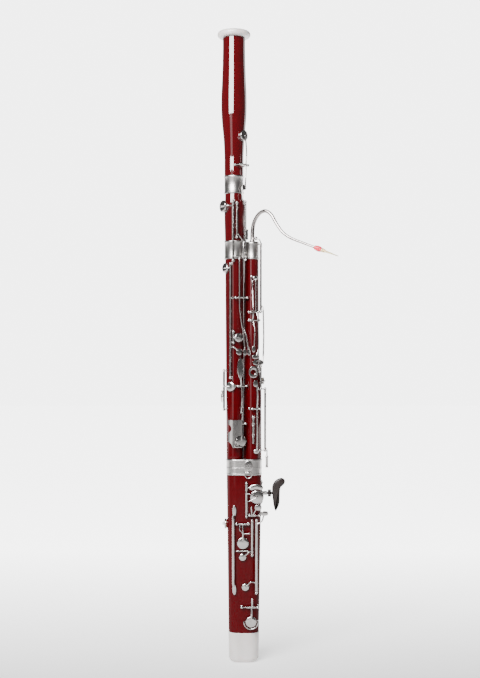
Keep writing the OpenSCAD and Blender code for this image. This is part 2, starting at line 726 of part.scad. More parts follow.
module high_a_key() {
    silver() key(high_a_axle, 0.46, 0.84) {
        pad_cup(high_a_pad);
        arm([at(wing_x, 15, 21, 740, 1), at(wing_x, 15, 21.5, 780, 1), at(wing_x, 15, 20.5, 809, 1)], 1.3);
        arm([at(wing_x, 15, 20.9, 740, 3.5), at(wing_x, 15, 26, 723, 5), at(wing_x, 15, 26.3, 660, 6)], 1.35);
        arm([at(wing_x, 15, 26.5, 661, 5.8), at(wing_x, 15, 26.8, 648.5, 1)], 1.25);
        plate(at(wing_x, 15, 25.8, 645.5, -1.3), 15, 13, 9.5);
    }
}

module high_c_key() {
    silver() key(high_c_axle, 0.08, 0.44) {
        arm([at(wing_x, 15, 20.5, 722.5, -5.5), at(wing_x, 15, 25.6, 735, -5.5),
             at(wing_x, 15, 25.6, 748, -5.5), at(wing_x, 15, 20, 783, -5.2),
             at(wing_x, 15, 18.2, 806, -4.9)], 1.3);
        facing(at(wing_x, 15, 17, 812, 1), 15) rotate([0, 0, 142]) rotate_extrude(angle = 86)
            translate([7.8, 0]) square([2, 2]);
        arm([at(wing_x, 15, 20.5, 722.5, -4.5), at(wing_x, 15, 25.5, 702, -2),
             at(wing_x, 15, 26.3, 667.5, -3.8)], 1.3);
        plate(at(wing_x, 15, 25.4, 662, -4.6), 15, 8, 14);
    }
}

module c_sharp_key() {
    silver() key(c_sharp_axle) {
        pad_cup(c_sharp_pad);
        arm([at(wing_x, 55, 21.5, 594), at(wing_x, 73, 27, 594), at(wing_x, 93, 25.6, 594)]);
        arm([at(wing_x, 55, 21.5, 614), at(wing_x, 30, 24.6, 614), at(wing_x, 20, 23.9, 614)]);
        difference() {
            plate(at(wing_x, 5, 22.8, 613.5), 5, 20, 25, 1.8);
            facing(at(wing_x, 5, 22, 613.5), 5) cylinder(r = 5.5, h = 6, center = true);
        }
    }
}

module wing_vent_key() {
    silver() key(vent_axle, 0.3, 0.85) {
        pad_cup(vent_pad);
        arm([at(wing_x, 25, 22, 536), at(wing_x, 25, 24.5, 560), at(wing_x, 25, 25, 588, -1)]);
        arm([at(wing_x, 25, 22, 536), at(wing_x, 25, 22.5, 480), at(wing_x, 25, 21, 448)]);
        plate(at(wing_x, 15, 24.6, 589), 15, 10, 14);
    }
}

module whisper_bridge() {
    silver() key(bridge_axle) {
        arm([at(wing_x, 83.7, 27.2, 453), [49, -8, 448], [49, -8, 434]], 1.4);
        translate([49, -8, 411]) cylinder(r = 3.2, h = 25);
        arm([at(wing_x, 83.7, 27.2, 570), [43.5, -12.5, 571]], 1.4);
    }
}

// Guides of the sliding joint lock
LOCK_GUIDES = [480, 503];
lock_r = 2;
lock_at = [19.6, -20.2, 0];
module lock_guide(z) {
    difference() {
        union() {
            translate([lock_at.x, lock_at.y, z - 3]) cylinder(r = 3.6, h = 6);
            bar([lock_at.x, lock_at.y, z], [lock_at.x, -11, z], 1.8);
        }
        translate([lock_at.x, lock_at.y, z - 20]) cylinder(r = lock_r + fit, h = 40);
    }
}

module joint_lock_slide() {
    silver() translate(lock_at) {
        translate([0, 0, 462]) cylinder(r = lock_r, h = 54);
        translate([0, 0, 518.5]) sphere(r = 4);
    }
}

// ---------------------------------------------------------------- keys of the boot

module b_flat_thumb_key() {
    silver() key(rod_o_axle, 0.77, 0.96) {
        arm([[5.5, -28, 371], [14, -32, 371]], 1.6);
        facing([26.4, -31.2, 351], 0) rotate([0, 0, 60]) rotate_extrude(angle = 62)
            translate([16.6, 0]) square([11, 2]);
    }
}

module pancake_key() {
    silver() key(rod_o_axle, 0.05, 0.72) {
        pad_cup(pancake_pad);
        cup_boss(pancake_pad, 6.4);
        for (z = [343, 358]) arm([[5.5, -28, z], [11, -32.6, z], over_cup(pancake_pad, 6.4)], 1.3);
    }
}

module low_e_key() {
    silver() key(low_e_axle, 0.2, 0.85) {
        pad_cup(low_e_pad);
        arm([[-2, -28, 294], [-2, -31.5, 280], [-2, -30.2, 260]], 1.6);
        arm([[-8, -28, 294], [-8, -31, 282], [0, -32, 275], [12, -32.5, 275]], 1.4);
    }
}

module f_sharp_thumb_key() {
    silver() key(f_sharp_axle, 0.1, 0.6) {
        arm([[19, -27.5, 312], [22, -31, 319], [26, -32.3, 327]], 1.5);
        plate([30, -32, 329.5], 0, 15, 12);
        arm([[16.5, -27.5, 312], [15.5, -30, 330]], 1.3);
    }
}

module f_sharp_rod() {
    silver() key(f_sharp_rod_axle) {
        pad_cup(f_sharp_pad);
        arm([[17, -27.5, 240], [9, -32.5, 234], [-1, -28.2, 225]], 1.4);
    }
}

module a_flat_thumb_key() {
    silver() key(a_flat_axle) {
        pad_cup(a_flat_pad);
        arm([[26, -27, 170], [15, -30, 173], [4.5, -27.6, 162]], 1.5);
        arm([[26, -27, 294], [37, -28.5, 299], [42, -27.5, 312]], 1.5);
        plate([43, -27, 316.5], 0, 17, 10);
    }
}

module low_f_key() {
    silver() key(low_f_axle, 0.3, 0.85) {
        pad_cup(low_f_pad);
        arm([[16, -27, 119], [16, -31, 106], [15, -29.5, 90]], 1.7);
        arm([[17.2, -27, 119], [17.2, -29.5, 137]], 1.7);
    }
}

module g_key() {
    silver() key(g_axle) {
        pad_cup(g_pad);
        arm([[12, 27.5, 320], [4, 31.5, 320], [-4, 30.4, 320]]);
        arm([[12, 27.5, 222], [2, 31, 222]]);
        plate([-4, 30, 222], 180, 15, 20);
    }
}

module side_trill_key() {
    silver() key(side_axle) {
        pad_cup(side_pad);
        cup_boss(side_pad, 6.3);
        arm([at(-13.5, -150, 27, 291), at(-13.5, -128, 33.5, 291), at(-13.5, -107, 32, 291),
             over_cup(side_pad, 6.3)]);
        arm([at(-13.5, -150, 27, 262), [-18, 31, 258], [-10, 31, 256]]);
        plate([-8, 29.5, 256], 180, 12, 18);
    }
}

module f_key() {
    silver() key(f_axle) {
        pad_cup(f_pad);
        arm([[12, 27.5, 160], [4, 31.5, 160], [-4, 30.2, 160]]);
        arm([[12, 27.5, 106], [4, 31, 106]]);
        plate([-3, 30, 106], 180, 18, 13);
    }
}

// ---------------------------------------------------------------- assembly

bell_body();
bell_ring();
bell_ferrule();
bass_joint();
bass_band();
wing_joint();
wing_cap();
tenon_corks();
finger_hole_tubes();
boot_body();
boot_band();
boot_cap();
u_tube();
u_tube_gasket();
bell_posts();
bass_posts();
wing_posts();
boot_posts();
pivot_rods();
boot_guards();
bass_guard();
body_lock();
strap_plate();
handrest_socket();
bocal_tube();
bocal_cork();
reed_cane();
reed_wires();
reed_thread();
strap_ring();
crutch();
crutch_screw();
low_b_flat_key();
bell_link_rod();
low_b_flat_lever();
low_b_link_rod();
low_b_key();
low_b_lever();
low_c_sharp_key();
low_c_key();
low_e_flat_key();
low_d_lever();
low_d_key();
whisper_key();
high_a_key();
high_c_key();
c_sharp_key();
wing_vent_key();
whisper_bridge();
joint_lock_slide();
b_flat_thumb_key();
pancake_key();
low_e_key();
f_sharp_thumb_key();
f_sharp_rod();
a_flat_thumb_key();
low_f_key();
g_key();
side_trill_key();
f_key();
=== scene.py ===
"""A bassoon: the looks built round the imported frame. Shapes are written in millimetres and made in metres."""
from math import cos, pi, radians, sin, sqrt
import bmesh
import bpy
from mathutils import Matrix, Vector


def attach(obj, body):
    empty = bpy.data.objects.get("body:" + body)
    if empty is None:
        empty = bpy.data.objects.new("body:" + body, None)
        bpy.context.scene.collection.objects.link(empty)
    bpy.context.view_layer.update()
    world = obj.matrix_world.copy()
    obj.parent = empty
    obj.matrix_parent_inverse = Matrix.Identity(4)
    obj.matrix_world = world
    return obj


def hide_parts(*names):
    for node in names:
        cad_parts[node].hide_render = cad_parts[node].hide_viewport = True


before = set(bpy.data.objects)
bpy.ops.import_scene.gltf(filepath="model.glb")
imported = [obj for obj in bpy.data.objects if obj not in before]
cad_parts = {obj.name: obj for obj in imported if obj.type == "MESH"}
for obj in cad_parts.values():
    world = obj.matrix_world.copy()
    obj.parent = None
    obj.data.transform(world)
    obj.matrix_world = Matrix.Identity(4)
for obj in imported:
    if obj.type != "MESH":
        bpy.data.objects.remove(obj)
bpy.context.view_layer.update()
MM = 0.001

# ------------------------------------------------------------------ places shared with the frame
BASS_X, WING_X, BELL_X = -19.0, 18.3, -20.8
CAP_H, BOOT_TOP, BAND_TOP = 63.0, 395.0, 429.0
BASS_END, BELL_SEAT, BELL_TOP = 977.0, 1029.0, 1336.0
BASS_R, MOUTH_R = 17.5, 21.0
TUBE_R, BALL_R = 2.5, 3.0
REST_Z = 355.8
LOCK_GUIDES = (480, 503)
LOCK_AT = Vector((19.6, -20.2, 0))
UP = (0, 0, 1)
BOCAL_TURN = radians(28)
BELL_PROFILE = [
    (1029, 20.2), (1070, 20.3), (1106, 22), (1128, 24.2), (1145, 25.8), (1164, 26.9), (1183, 27.2),
    (1205, 26.8), (1225, 25.8), (1265, 24.3), (1300, 23.8), (1322, 23.8),
]


def at(j, a, n, z, t=0.0):
    """A point at height z, n out from the axis through x = j, facing a degrees from -Y, and t across."""
    a = radians(a)
    return Vector((j + t * cos(a) + n * sin(a), t * sin(a) - n * cos(a), z))


def run(j, a, *places):
    """Points (n, z) or (n, z, t) on one facing."""
    return [at(j, a, *place) for place in places]


def outward(a):
    return Vector((sin(radians(a)), -cos(radians(a)), 0))


def between(table, z):
    """The value at z in a table of (z, value) rows."""
    for (z0, v0), (z1, v1) in zip(table, table[1:]):
        if z <= z1:
            return v0 + (v1 - v0) * max(0, z - z0) / (z1 - z0)
    return table[-1][1]


def bass_radius(z):
    return between([(BAND_TOP, BASS_R), (873, 20.8), (BASS_END, 23.0)], z)


def boot_rounds(z, grow=0.0):
    """The two rounds that make the boot's oval at height z: (x, y, radius) each."""
    s = (z - CAP_H) / (BOOT_TOP - CAP_H)
    r = 20.5 + 1.3 * s + grow
    return [(-11.5 - 3 * s, 0, r), (11.5 + 4.5 * s, 0, r)]


def wing_rounds(z):
    """The wing's slim round, and the thick side's round that fades into it."""
    slim = (WING_X, 0, 15 - 1.6 * (z - BAND_TOP) / 423)
    f = min(1, max(0, (z - 559) / 135))
    f = f * f * (3 - 2 * f)
    thick = (24.5 - 5.6 * f, 7 - 6.2 * f, 13.2 - 0.8 * f)
    return [slim, thick] if z < 700 else [slim]


def in_round(p, c):
    return (p.x - c[0]) ** 2 + (p.y - c[1]) ** 2 < c[2] ** 2


def in_wood(p):
    if p.z < BAND_TOP:
        left, right = boot_rounds(p.z)
        x = min(max(p.x, left[0]), right[0])
        return in_round(p, (x, 0, left[2]))
    if p.z > BASS_END:
        return in_round(p, (BELL_X, 0, between(BELL_PROFILE, p.z)))
    return in_round(p, (BASS_X, 0, bass_radius(p.z))) or any(in_round(p, c) for c in wing_rounds(p.z))


# ------------------------------------------------------------------ mesh kit
class Shape:
    """Closed shells gathered in one mesh."""

    def __init__(self):
        self.verts = []
        self.faces = []

    def rings(self, rings, loop=False):
        """Joins rings of points into a shell. A ring of one point is a tip; an open end is capped."""
        starts = []
        for ring in rings:
            starts.append(len(self.verts))
            self.verts += [tuple(p) for p in ring]
        pairs = list(zip(range(len(rings) - 1), range(1, len(rings))))
        if loop:
            pairs.append((len(rings) - 1, 0))
        for i, j in pairs:
            self._join(starts[i], len(rings[i]), starts[j], len(rings[j]))
        if not loop:
            if len(rings[0]) > 1:
                self.faces.append([starts[0] + k for k in reversed(range(len(rings[0])))])
            if len(rings[-1]) > 1:
                self.faces.append([starts[-1] + k for k in range(len(rings[-1]))])

    def _join(self, a, na, b, nb):
        n = max(na, nb)
        for k in range(n):
            m = (k + 1) % n
            if na == 1:
                self.faces.append([a, b + k, b + m][::-1])
            elif nb == 1:
                self.faces.append([a + k, a + m, b])
            else:
                self.faces.append([a + k, a + m, b + m, b + k])

    def lathe(self, base, way, profile, seg=32, loop=False):
        """Turns (radius, height) points about the line from base along way."""
        way = Vector(way).normalized()
        u = way.orthogonal().normalized()
        v = way.cross(u)
        base = Vector(base)
        rings = []
        for r, h in profile:
            c = base + way * h
            if r < 1e-6:
                rings.append([c])
            else:
                rings.append([c + (u * cos(2 * pi * k / seg) + v * sin(2 * pi * k / seg)) * r
                              for k in range(seg)])
        self.rings(rings, loop)

    def sweep(self, points, radii, out=None, flat=1.0, seg=14, steps=6, loop=False):
        """A smooth bar through the points, oval where flat is not 1, with round ends."""
        path = smooth(points, steps, loop)
        sizes = spread(radii, len(path))
        rings = []
        count = len(path)
        for i, c in enumerate(path):
            before = path[(i - 1) % count] if (loop or i) else c
            after = path[(i + 1) % count] if (loop or i < count - 1) else c
            t = (after - before).normalized()
            o = out if out is not None else t.orthogonal()
            side = t.cross(o).normalized()
            o = side.cross(t).normalized()
            rings.append((c, t, side, o, sizes[i]))
        if loop:
            self.rings([oval_ring(c, s, o, r, r * flat, seg) for c, t, s, o, r in rings], True)
            return
        shell = [oval_ring(c, s, o, r, r * flat, seg) for c, t, s, o, r in rings]
        self.rings(round_end(rings[0], -1, flat, seg)[::-1] + shell + round_end(rings[-1], 1, flat, seg))

    def plate(self, centre, a, outline, thick=1.8, dome=0.25):
        """A flat touch with eased edges, its underside at the centre, facing a degrees round."""
        u = Vector((cos(radians(a)), sin(radians(a)), 0))
        n = outward(a)
        z = Vector(UP)
        rings = []
        for inset, h in [(0.5, 0), (0.12, 0.12), (0, 0.45), (0, thick - 0.6), (0.15, thick - 0.2),
                         (0.55, thick), (1.6, thick + dome * 0.5)]:
            rings.append([centre + u * x + z * y + n * h for x, y in shrink(outline, inset)])
        rings.append([centre + n * (thick + dome)])
        self.rings(rings)


def oval_ring(c, side, out, w, h, seg):
    return [c + side * (w * cos(2 * pi * k / seg)) + out * (h * sin(2 * pi * k / seg)) for k in range(seg)]


def round_end(ring, sign, flat, seg):
    """Rings that close a bar's end with a dome."""
    c, t, side, out, r = ring
    rings = []
    for k in (25, 50, 72):
        s = cos(radians(k)) * r
        rings.append(oval_ring(c + t * (sign * r * 0.9 * sin(radians(k))), side, out, s, s * flat, seg))
    return rings + [[c + t * (sign * r * 0.9)]]


def smooth(points, steps, loop=False):
    """A Catmull-Rom curve through the points."""
    points = [Vector(p) for p in points]
    if len(points) < 3 and not loop:
        return points
    n = len(points)
    out = []
    spans = n if loop else n - 1
    for i in range(spans):
        p1, p2 = points[i], points[(i + 1) % n]
        p0 = points[i - 1] if (loop or i) else p1 * 2 - p2
        p3 = points[(i + 2) % n] if (loop or i < n - 2) else p2 * 2 - p1
        tension = min((p2 - p1).length / max((p2 - p0).length, 1e-6),
                      (p2 - p1).length / max((p3 - p1).length, 1e-6))
        m1, m2 = (p2 - p0) * min(0.5, tension), (p3 - p1) * min(0.5, tension)
        for k in range(steps):
            t = k / steps
            h00, h10 = 2 * t ** 3 - 3 * t ** 2 + 1, t ** 3 - 2 * t ** 2 + t
            h01, h11 = 3 * t ** 2 - 2 * t ** 3, t ** 3 - t ** 2
            out.append(p1 * h00 + m1 * h10 + p2 * h01 + m2 * h11)
    if not loop:
        out.append(points[-1])
    return out


def spread(values, count):
    """The list of values stretched evenly to count places."""
    if not isinstance(values, (list, tuple)):
        return [values] * count
    out = []
    for i in range(count):
        f = i / max(1, count - 1) * (len(values) - 1)
        k = min(int(f), len(values) - 2)
        out.append(values[k] + (values[k + 1] - values[k]) * (f - k))
    return out


def shrink(outline, d):
    """A convex outline drawn in by d on each side of its middle."""
    w = max(abs(x) for x, y in outline)
    h = max(abs(y) for x, y in outline)
    return [(x * (w - d) / w, y * (h - d) / h) for x, y in outline]


def oval(w, h, power=2.0, seg=36):
    """A superellipse w wide and h tall."""
    out = []
    for k in range(seg):
        c, s = cos(2 * pi * k / seg), sin(2 * pi * k / seg)
        out.append((w / 2 * abs(c) ** (2 / power) * (1 if c >= 0 else -1),
                    h / 2 * abs(s) ** (2 / power) * (1 if s >= 0 else -1)))
    return out


def teardrop(w, h, seg, lean):
    """An oval that narrows toward its top, or toward its foot where lean is negative."""
    return [(x * (1 - lean * y / (h / 2)), y) for x, y in oval(w, h, seg=seg)]


def make(name, shape, material, body, *nodes, sharp=35):
    """Turns a shape into a piece that rides on a body and stands for the CAD nodes."""
    mesh = bpy.data.meshes.new(name)
    mesh.from_pydata([tuple(c * MM for c in v) for v in shape.verts], [], shape.faces)
    mesh.validate()
    solid = bmesh.new()
    solid.from_mesh(mesh)
    bmesh.ops.recalc_face_normals(solid, faces=solid.faces)
    solid.to_mesh(mesh)
    solid.free()
    mesh.shade_smooth()
    mesh.set_sharp_from_angle(angle=radians(sharp))
    mesh.materials.append(material)
    piece = bpy.data.objects.new(name, mesh)
    bpy.context.scene.collection.objects.link(piece)
    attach(piece, body)
    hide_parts(*nodes)


# ------------------------------------------------------------------ materials
def new_material(name, **sockets):
    material = bpy.data.materials.new(name)
    material.use_nodes = True
    shader = material.node_tree.nodes["Principled BSDF"]
    for key, value in sockets.items():
        shader.inputs[key.replace("_", " ")].default_value = value
    return material, material.node_tree, shader


def add(tree, kind, links=(), **settings):
    """Adds a node, sets its attributes and input values, and links (input, source socket) pairs."""
    node = tree.nodes.new(kind)
    for key, value in settings.items():
        if hasattr(node, key):
            setattr(node, key, value)
        else:
            node.inputs[key.replace("_", " ")].default_value = value
    for key, source in links:
        tree.links.new(source, node.inputs[key])
    return node


def stretched(tree, scale):
    """Object coordinates in metres, stretched by the scale."""
    place = add(tree, "ShaderNodeTexCoord")
    mapping = add(tree, "ShaderNodeMapping", [("Vector", place.outputs["Object"])])
    mapping.inputs["Scale"].default_value = scale
    return mapping.outputs["Vector"]


def noise(tree, scale, size, detail=4.0, rough=0.5):
    return add(tree, "ShaderNodeTexNoise", [("Vector", stretched(tree, scale))],
               Scale=size, Detail=detail, Roughness=rough).outputs["Fac"]


def paint(tree, shader, source, stops):
    """Colours the surface by a ramp over the source."""
    node = add(tree, "ShaderNodeValToRGB", [("Fac", source)])
    elements = node.color_ramp.elements
    while len(elements) < len(stops):
        elements.new(0.5)
    for element, (where, colour) in zip(elements, stops):
        element.position = where
        element.color = (*colour, 1)
    tree.links.new(node.outputs["Color"], shader.inputs["Base Color"])


def spread_to(tree, source, low, high, a=0.3, b=0.7):
    return add(tree, "ShaderNodeMapRange", [("Value", source)], From_Min=a, From_Max=b,
               To_Min=low, To_Max=high).outputs["Result"]


def bump(tree, shader, height, distance, strength=1.0):
    node = add(tree, "ShaderNodeBump", [("Height", height)], Distance=distance, Strength=strength)
    tree.links.new(node.outputs["Normal"], shader.inputs["Normal"])


def lacquered_wood():
    """Red-stained maple, streaked along the grain, under a coat that thins to satin on the boot."""
    material, tree, shader = new_material(
        "lacquered_wood", Coat_Roughness=0.035, Coat_IOR=1.7, Specular_IOR_Level=0.0)
    streaks = noise(tree, (1, 1, 0.05), 420, 5, 0.6)
    curl = noise(tree, (0.5, 0.5, 1), 95, 3, 0.55)
    mix = add(tree, "ShaderNodeMath", [(0, streaks), (1, curl)], operation="ADD").outputs[0]
    half = add(tree, "ShaderNodeMath", [(0, mix)], operation="MULTIPLY")
    half.inputs[1].default_value = 0.5
    paint(tree, shader, half.outputs[0], [
        (0.3, (0.034, 0.0001, 0.0007)), (0.5, (0.042, 0.0001, 0.001)), (0.7, (0.049, 0.0002, 0.0014))])
    tree.links.new(spread_to(tree, streaks, 0.3, 0.46), shader.inputs["Roughness"])
    height = add(tree, "ShaderNodeSeparateXYZ", [("Vector", stretched(tree, (1, 1, 1)))]).outputs["Z"]
    tree.links.new(spread_to(tree, height, 0.1, 1.0, 0.42, 0.75), shader.inputs["Coat Weight"])
    bump(tree, shader, noise(tree, (1, 1, 0.3), 45, 2), 0.00001, 0.2)
    return material


def silver_plate(name, rough, tone, brushed=0.0):
    """Nickel silver with faint handling marks and a little tarnish."""
    material, tree, shader = new_material(name, Metallic=1.0)
    cloud = noise(tree, (1, 1, 1), 55, 4)
    paint(tree, shader, cloud, [(0.3, [c * 0.86 for c in tone]), (0.6, tone)])
    marks = noise(tree, (1, 1, 6) if brushed else (1, 1, 0.25), 900, 3, 0.7)
    tree.links.new(spread_to(tree, marks, rough * 0.75, rough * 1.35), shader.inputs["Roughness"])
    bump(tree, shader, marks, 0.00001, 0.3 + brushed)
    return material


def ivory_plastic():
    material, tree, shader = new_material(
        "ivory_plastic", Roughness=0.32, Coat_Weight=0.25, Coat_Roughness=0.12, Subsurface_Weight=0.08,
        Subsurface_Scale=0.004)
    cloud = noise(tree, (1, 1, 0.5), 38, 5)
    paint(tree, shader, cloud, [(0.3, (0.42, 0.39, 0.375)), (0.65, (0.49, 0.46, 0.445))])
    bump(tree, shader, noise(tree, (1, 1, 1), 600, 3), 0.00002, 0.4)
    return material


def dark_plastic():
    material, tree, shader = new_material("dark_plastic", Specular_IOR_Level=0.3)
    grain = noise(tree, (1, 1, 0.12), 260, 5, 0.6)
    paint(tree, shader, grain, [(0.3, (0.006, 0.0035, 0.0032)), (0.7, (0.014, 0.009, 0.008))])
    tree.links.new(spread_to(tree, grain, 0.28, 0.42), shader.inputs["Roughness"])
    bump(tree, shader, grain, 0.00005, 0.4)
    return material


def pad_skin():
    material, tree, shader = new_material("pad_skin", Roughness=0.6, Sheen_Weight=0.2)
    grain = noise(tree, (1, 1, 1), 700, 4, 0.6)
    paint(tree, shader, grain, [(0.3, (0.5, 0.38, 0.24)), (0.7, (0.72, 0.6, 0.43))])
    bump(tree, shader, grain, 0.00006, 0.6)
    return material


def cork_bark():
    material, tree, shader = new_material("cork_bark", Roughness=0.8)
    cells = add(tree, "ShaderNodeTexVoronoi", [("Vector", stretched(tree, (1, 1, 1)))], Scale=900.0)
    paint(tree, shader, cells.outputs["Distance"], [(0.1, (0.3, 0.18, 0.09)), (0.6, (0.62, 0.44, 0.26))])
    bump(tree, shader, cells.outputs["Distance"], 0.0002, 0.6)
    return material


def reed_cane_skin():
    material, tree, shader = new_material("reed_cane_skin", Roughness=0.5, Subsurface_Weight=0.1,
                                          Subsurface_Scale=0.002)
    fibres = noise(tree, (1, 8, 8), 300, 5, 0.6)
    paint(tree, shader, fibres, [(0.3, (0.52, 0.36, 0.16)), (0.7, (0.82, 0.67, 0.4))])
    bump(tree, shader, fibres, 0.00005, 0.5)
    return material


def red_thread():
    material, tree, shader = new_material("red_thread", Roughness=0.4, Coat_Weight=0.4, Coat_Roughness=0.2,
                                          Sheen_Weight=0.3)
    fibres = noise(tree, (1, 1, 1), 900, 4, 0.7)
    paint(tree, shader, fibres, [(0.3, (0.42, 0.003, 0.02)), (0.7, (0.72, 0.012, 0.045))])
    bump(tree, shader, fibres, 0.00008, 0.6)
    return material


# Brightness of the surround, of its backdrop behind the object (also the floor's painted glow at the back), and
# of the floor's painted glow in front
FRONT_GLOW = 0.14
BACK_GLOW = 5.0
FLOOR_GLOW = 0.5
# Depths between which the floor's painted glow rises toward the backdrop
FLOOR_GLOW_FADE = (-0.15, 1.2)
# How squarely a direction points at the backdrop where its edge starts and ends
BACKDROP_EDGE = (0.88, 0.93)


def studio_floor():
    """Pale paper with a painted glow: its emission is dim in front and rises toward the back, standing in for
    the light of the backdrop.
    """
    material, tree, shader = new_material("studio_floor", Roughness=0.9)
    paint(tree, shader, noise(tree, (1, 1, 1), 1.5, 2), [(0.3, (0.5, 0.5, 0.5)), (0.7, (0.54, 0.54, 0.54))])
    shader.inputs["Emission Color"].default_value = (1, 1, 1, 1)
    split = add(tree, "ShaderNodeSeparateXYZ", [("Vector", stretched(tree, (1, 1, 1)))])
    # Painted glow: the floor's emission strength grows with depth, from the front value to the backdrop's
    tree.links.new(spread_to(tree, split.outputs["Y"], FLOOR_GLOW, BACK_GLOW, *FLOOR_GLOW_FADE),
                   shader.inputs["Emission Strength"])
    return material


def studio_world():
    """Dim light all round, with a narrow bright backdrop behind the object."""
    world = bpy.data.worlds.new("studio")
    world.use_nodes = True
    tree = world.node_tree
    place = add(tree, "ShaderNodeTexCoord")
    split = add(tree, "ShaderNodeSeparateXYZ", [("Vector", place.outputs["Generated"])])
    tree.links.new(spread_to(tree, split.outputs["Y"], FRONT_GLOW, BACK_GLOW, *BACKDROP_EDGE),
                   tree.nodes["Background"].inputs["Strength"])
    tree.nodes["Background"].inputs["Color"].default_value = (1, 1, 1, 1)
    return world


WOOD = lacquered_wood()
SILVER = silver_plate("key_silver", 0.16, (0.41, 0.39, 0.38))
BAND_SILVER = silver_plate("band_silver", 0.3, (0.36, 0.345, 0.335), brushed=0.3)
BOCAL_SILVER = silver_plate("bocal_silver_plate", 0.18, (0.33, 0.3, 0.29))
IVORY = ivory_plastic()
DARK = dark_plastic()
PAD = pad_skin()
CORK = cork_bark()
CANE = reed_cane_skin()
THREAD = red_thread()
BRASS = silver_plate("reed_wire", 0.25, (0.75, 0.55, 0.27))

# ------------------------------------------------------------------ axles, posts and pads
# Each axle: axis x, facing, distance out, (across, z) of one end, of the other end, distance of the foot
AXLES = {
    "bell": (BELL_X, 50, 28.5, (-14, 1050.5), (12, 1050.5), 12),
    "bell_link": (BASS_X, 54.2, 27.7, (0, 856), (0, 972), 19),
    "thumb": (BASS_X, 32, 27.5, (-14.5, 770), (14, 770), 11),
    "low_b_link": (BASS_X, 9.3, 28, (0, 898), (0, 970), 19),
    "low_b": (BASS_X, -7.8, 28, (0, 849), (0, 972), 17),
    "low_c_sharp": (BASS_X, -21.6, 25.3, (0, 602), (0, 842), 15),
    "low_c": (BASS_X, -7.5, 25, (0, 675.5), (0, 699), 15),
    "low_e_flat": (BASS_X, -75, 23.8, (0, 534), (0, 616), 15),
    "low_d_lever": (BASS_X, 34, 26, (-9, 584), (12.5, 584), 11),
    "low_d": (BASS_X, 28, 25.5, (-9, 504.5), (12, 504.5), 11),
    "whisper": (WING_X, 68.4, 19.04, (0, 741), (0, 884), 10),
    "high_a": (WING_X, 15, 20.5, (-9.5, 740), (8.3, 740), 9),
    "high_c": (WING_X, 15, 20.5, (-9.5, 722.5), (8.3, 722.5), 9),
    "c_sharp": (WING_X, 55, 21.5, (0, 578), (0, 625), 12),
    "vent": (WING_X, 25, 22, (-10.5, 536), (6.5, 536), 9),
    "bridge": (WING_X, 83.7, 27.2, (0, 447), (0, 577), 15),
    "rod_o": (5.5, 0, 28, (0, 310), (0, 380), 18),
    "low_e": (0, 0, 28, (-15, 294), (9.4, 294), 17),
    "f_sharp": (0, 0, 27.5, (12, 312), (33, 312), 11),
    "f_sharp_rod": (17, 0, 27.5, (0, 229), (0, 301), 17),
    "a_flat": (26, 0, 27, (0, 149.5), (0, 301), 14),
    "low_f": (0, 0, 27, (-4, 119), (29, 119), 10),
    "g": (12, 180, 27.5, (0, 204), (0, 340), 17),
    "side": (-13.5, -150, 27, (0, 232), (0, 306), 18),
    "f": (12, 180, 27.5, (0, 92), (0, 178), 17),
}
POST_NODES = {
    "bell_posts": ["bell"],
    "bass_posts": ["bell_link", "thumb", "low_b_link", "low_b", "low_c_sharp", "low_c", "low_e_flat",
                   "low_d_lever", "low_d"],
    "wing_posts": ["whisper", "high_a", "high_c", "c_sharp", "vent", "bridge"],
    "boot_posts": ["rod_o", "low_e", "f_sharp", "f_sharp_rod", "a_flat", "low_f", "g", "side", "f"],
}
# Each pad: axis x, facing, across, z, cup radius, seat distance, distance of the pad's face
PADS = {
    "low_b_flat": (BELL_X, 50, -1.6, 1112, 11.5, 24.4, 27.4),
    "low_b": (BASS_X, -60, 0, 963, 12.8, 24.2, 27.2),
    "low_c_sharp": (BASS_X, -58, 0, 833, 10.5, 22, 22.3),
    "low_c": (BASS_X, 20, 0, 686, 9.8, 21, 23.5),
    "low_e_flat": (BASS_X, -24, 0, 583, 10.2, 20, 20.3),
    "low_d": (BASS_X, 28, 1, 468, 13, 19.8, 23.4),
    "high_a": (WING_X, 15, 1, 812, 5.3, 15.2, 15.5),
    "c_sharp": (WING_X, 95, 0, 594, 8, 20.6, 20.9),
    "vent": (WING_X, 25, 0, 446, 6, 16.3, 16.6),
    "pancake": (0, 0, 27.4, 351, 14.5, 23.5, 26),
    "low_e": (0, 0, -1.9, 254, 12.5, 22.8, 25.3),
    "f_sharp": (0, 0, -2.6, 224, 8, 22.3, 22.6),
    "a_flat": (0, 0, 3.2, 161, 8, 22.3, 22.6),
    "low_f": (0, 0, 14.9, 88, 11.8, 22, 24.5),
    "g": (0, 180, 6, 320, 11, 22.8, 25.5),
    "side": (-13.5, -92, 0, 291, 11, 23.1, 23.4),
    "f": (0, 180, 6, 160, 11, 22.6, 25.3),
    "whisper": (WING_X, 36.9, 0, 896, 3.9, 9.2, 10.8),
}
SEATS = {
    "bell_body": ["low_b_flat"],
    "bass_joint": ["low_b", "low_c_sharp", "low_c", "low_e_flat", "low_d"],
    "wing_joint": ["high_a", "c_sharp", "vent"],
    "boot_body": ["pancake", "low_e", "f_sharp", "a_flat", "low_f", "g", "side", "f"],
}


def axle_ends(name):
    j, a, n, first, last, _ = AXLES[name]
    return at(j, a, n, first[1], first[0]), at(j, a, n, last[1], last[0])


def over_pad(name, h=0.0):
    """A point h above the face of the pad, over its middle."""
    j, a, t, z, _, _, n = PADS[name]
    return at(j, a, n + h, z, t)


def surface(foot, tip):
    """Where the straight line from foot to tip leaves the wood."""
    way = (tip - foot).normalized()
    out = foot.copy()
    for k in range(int((tip - foot).length * 4)):
        p = foot + way * (k / 4)
        if in_wood(p):
            out = p
    return out


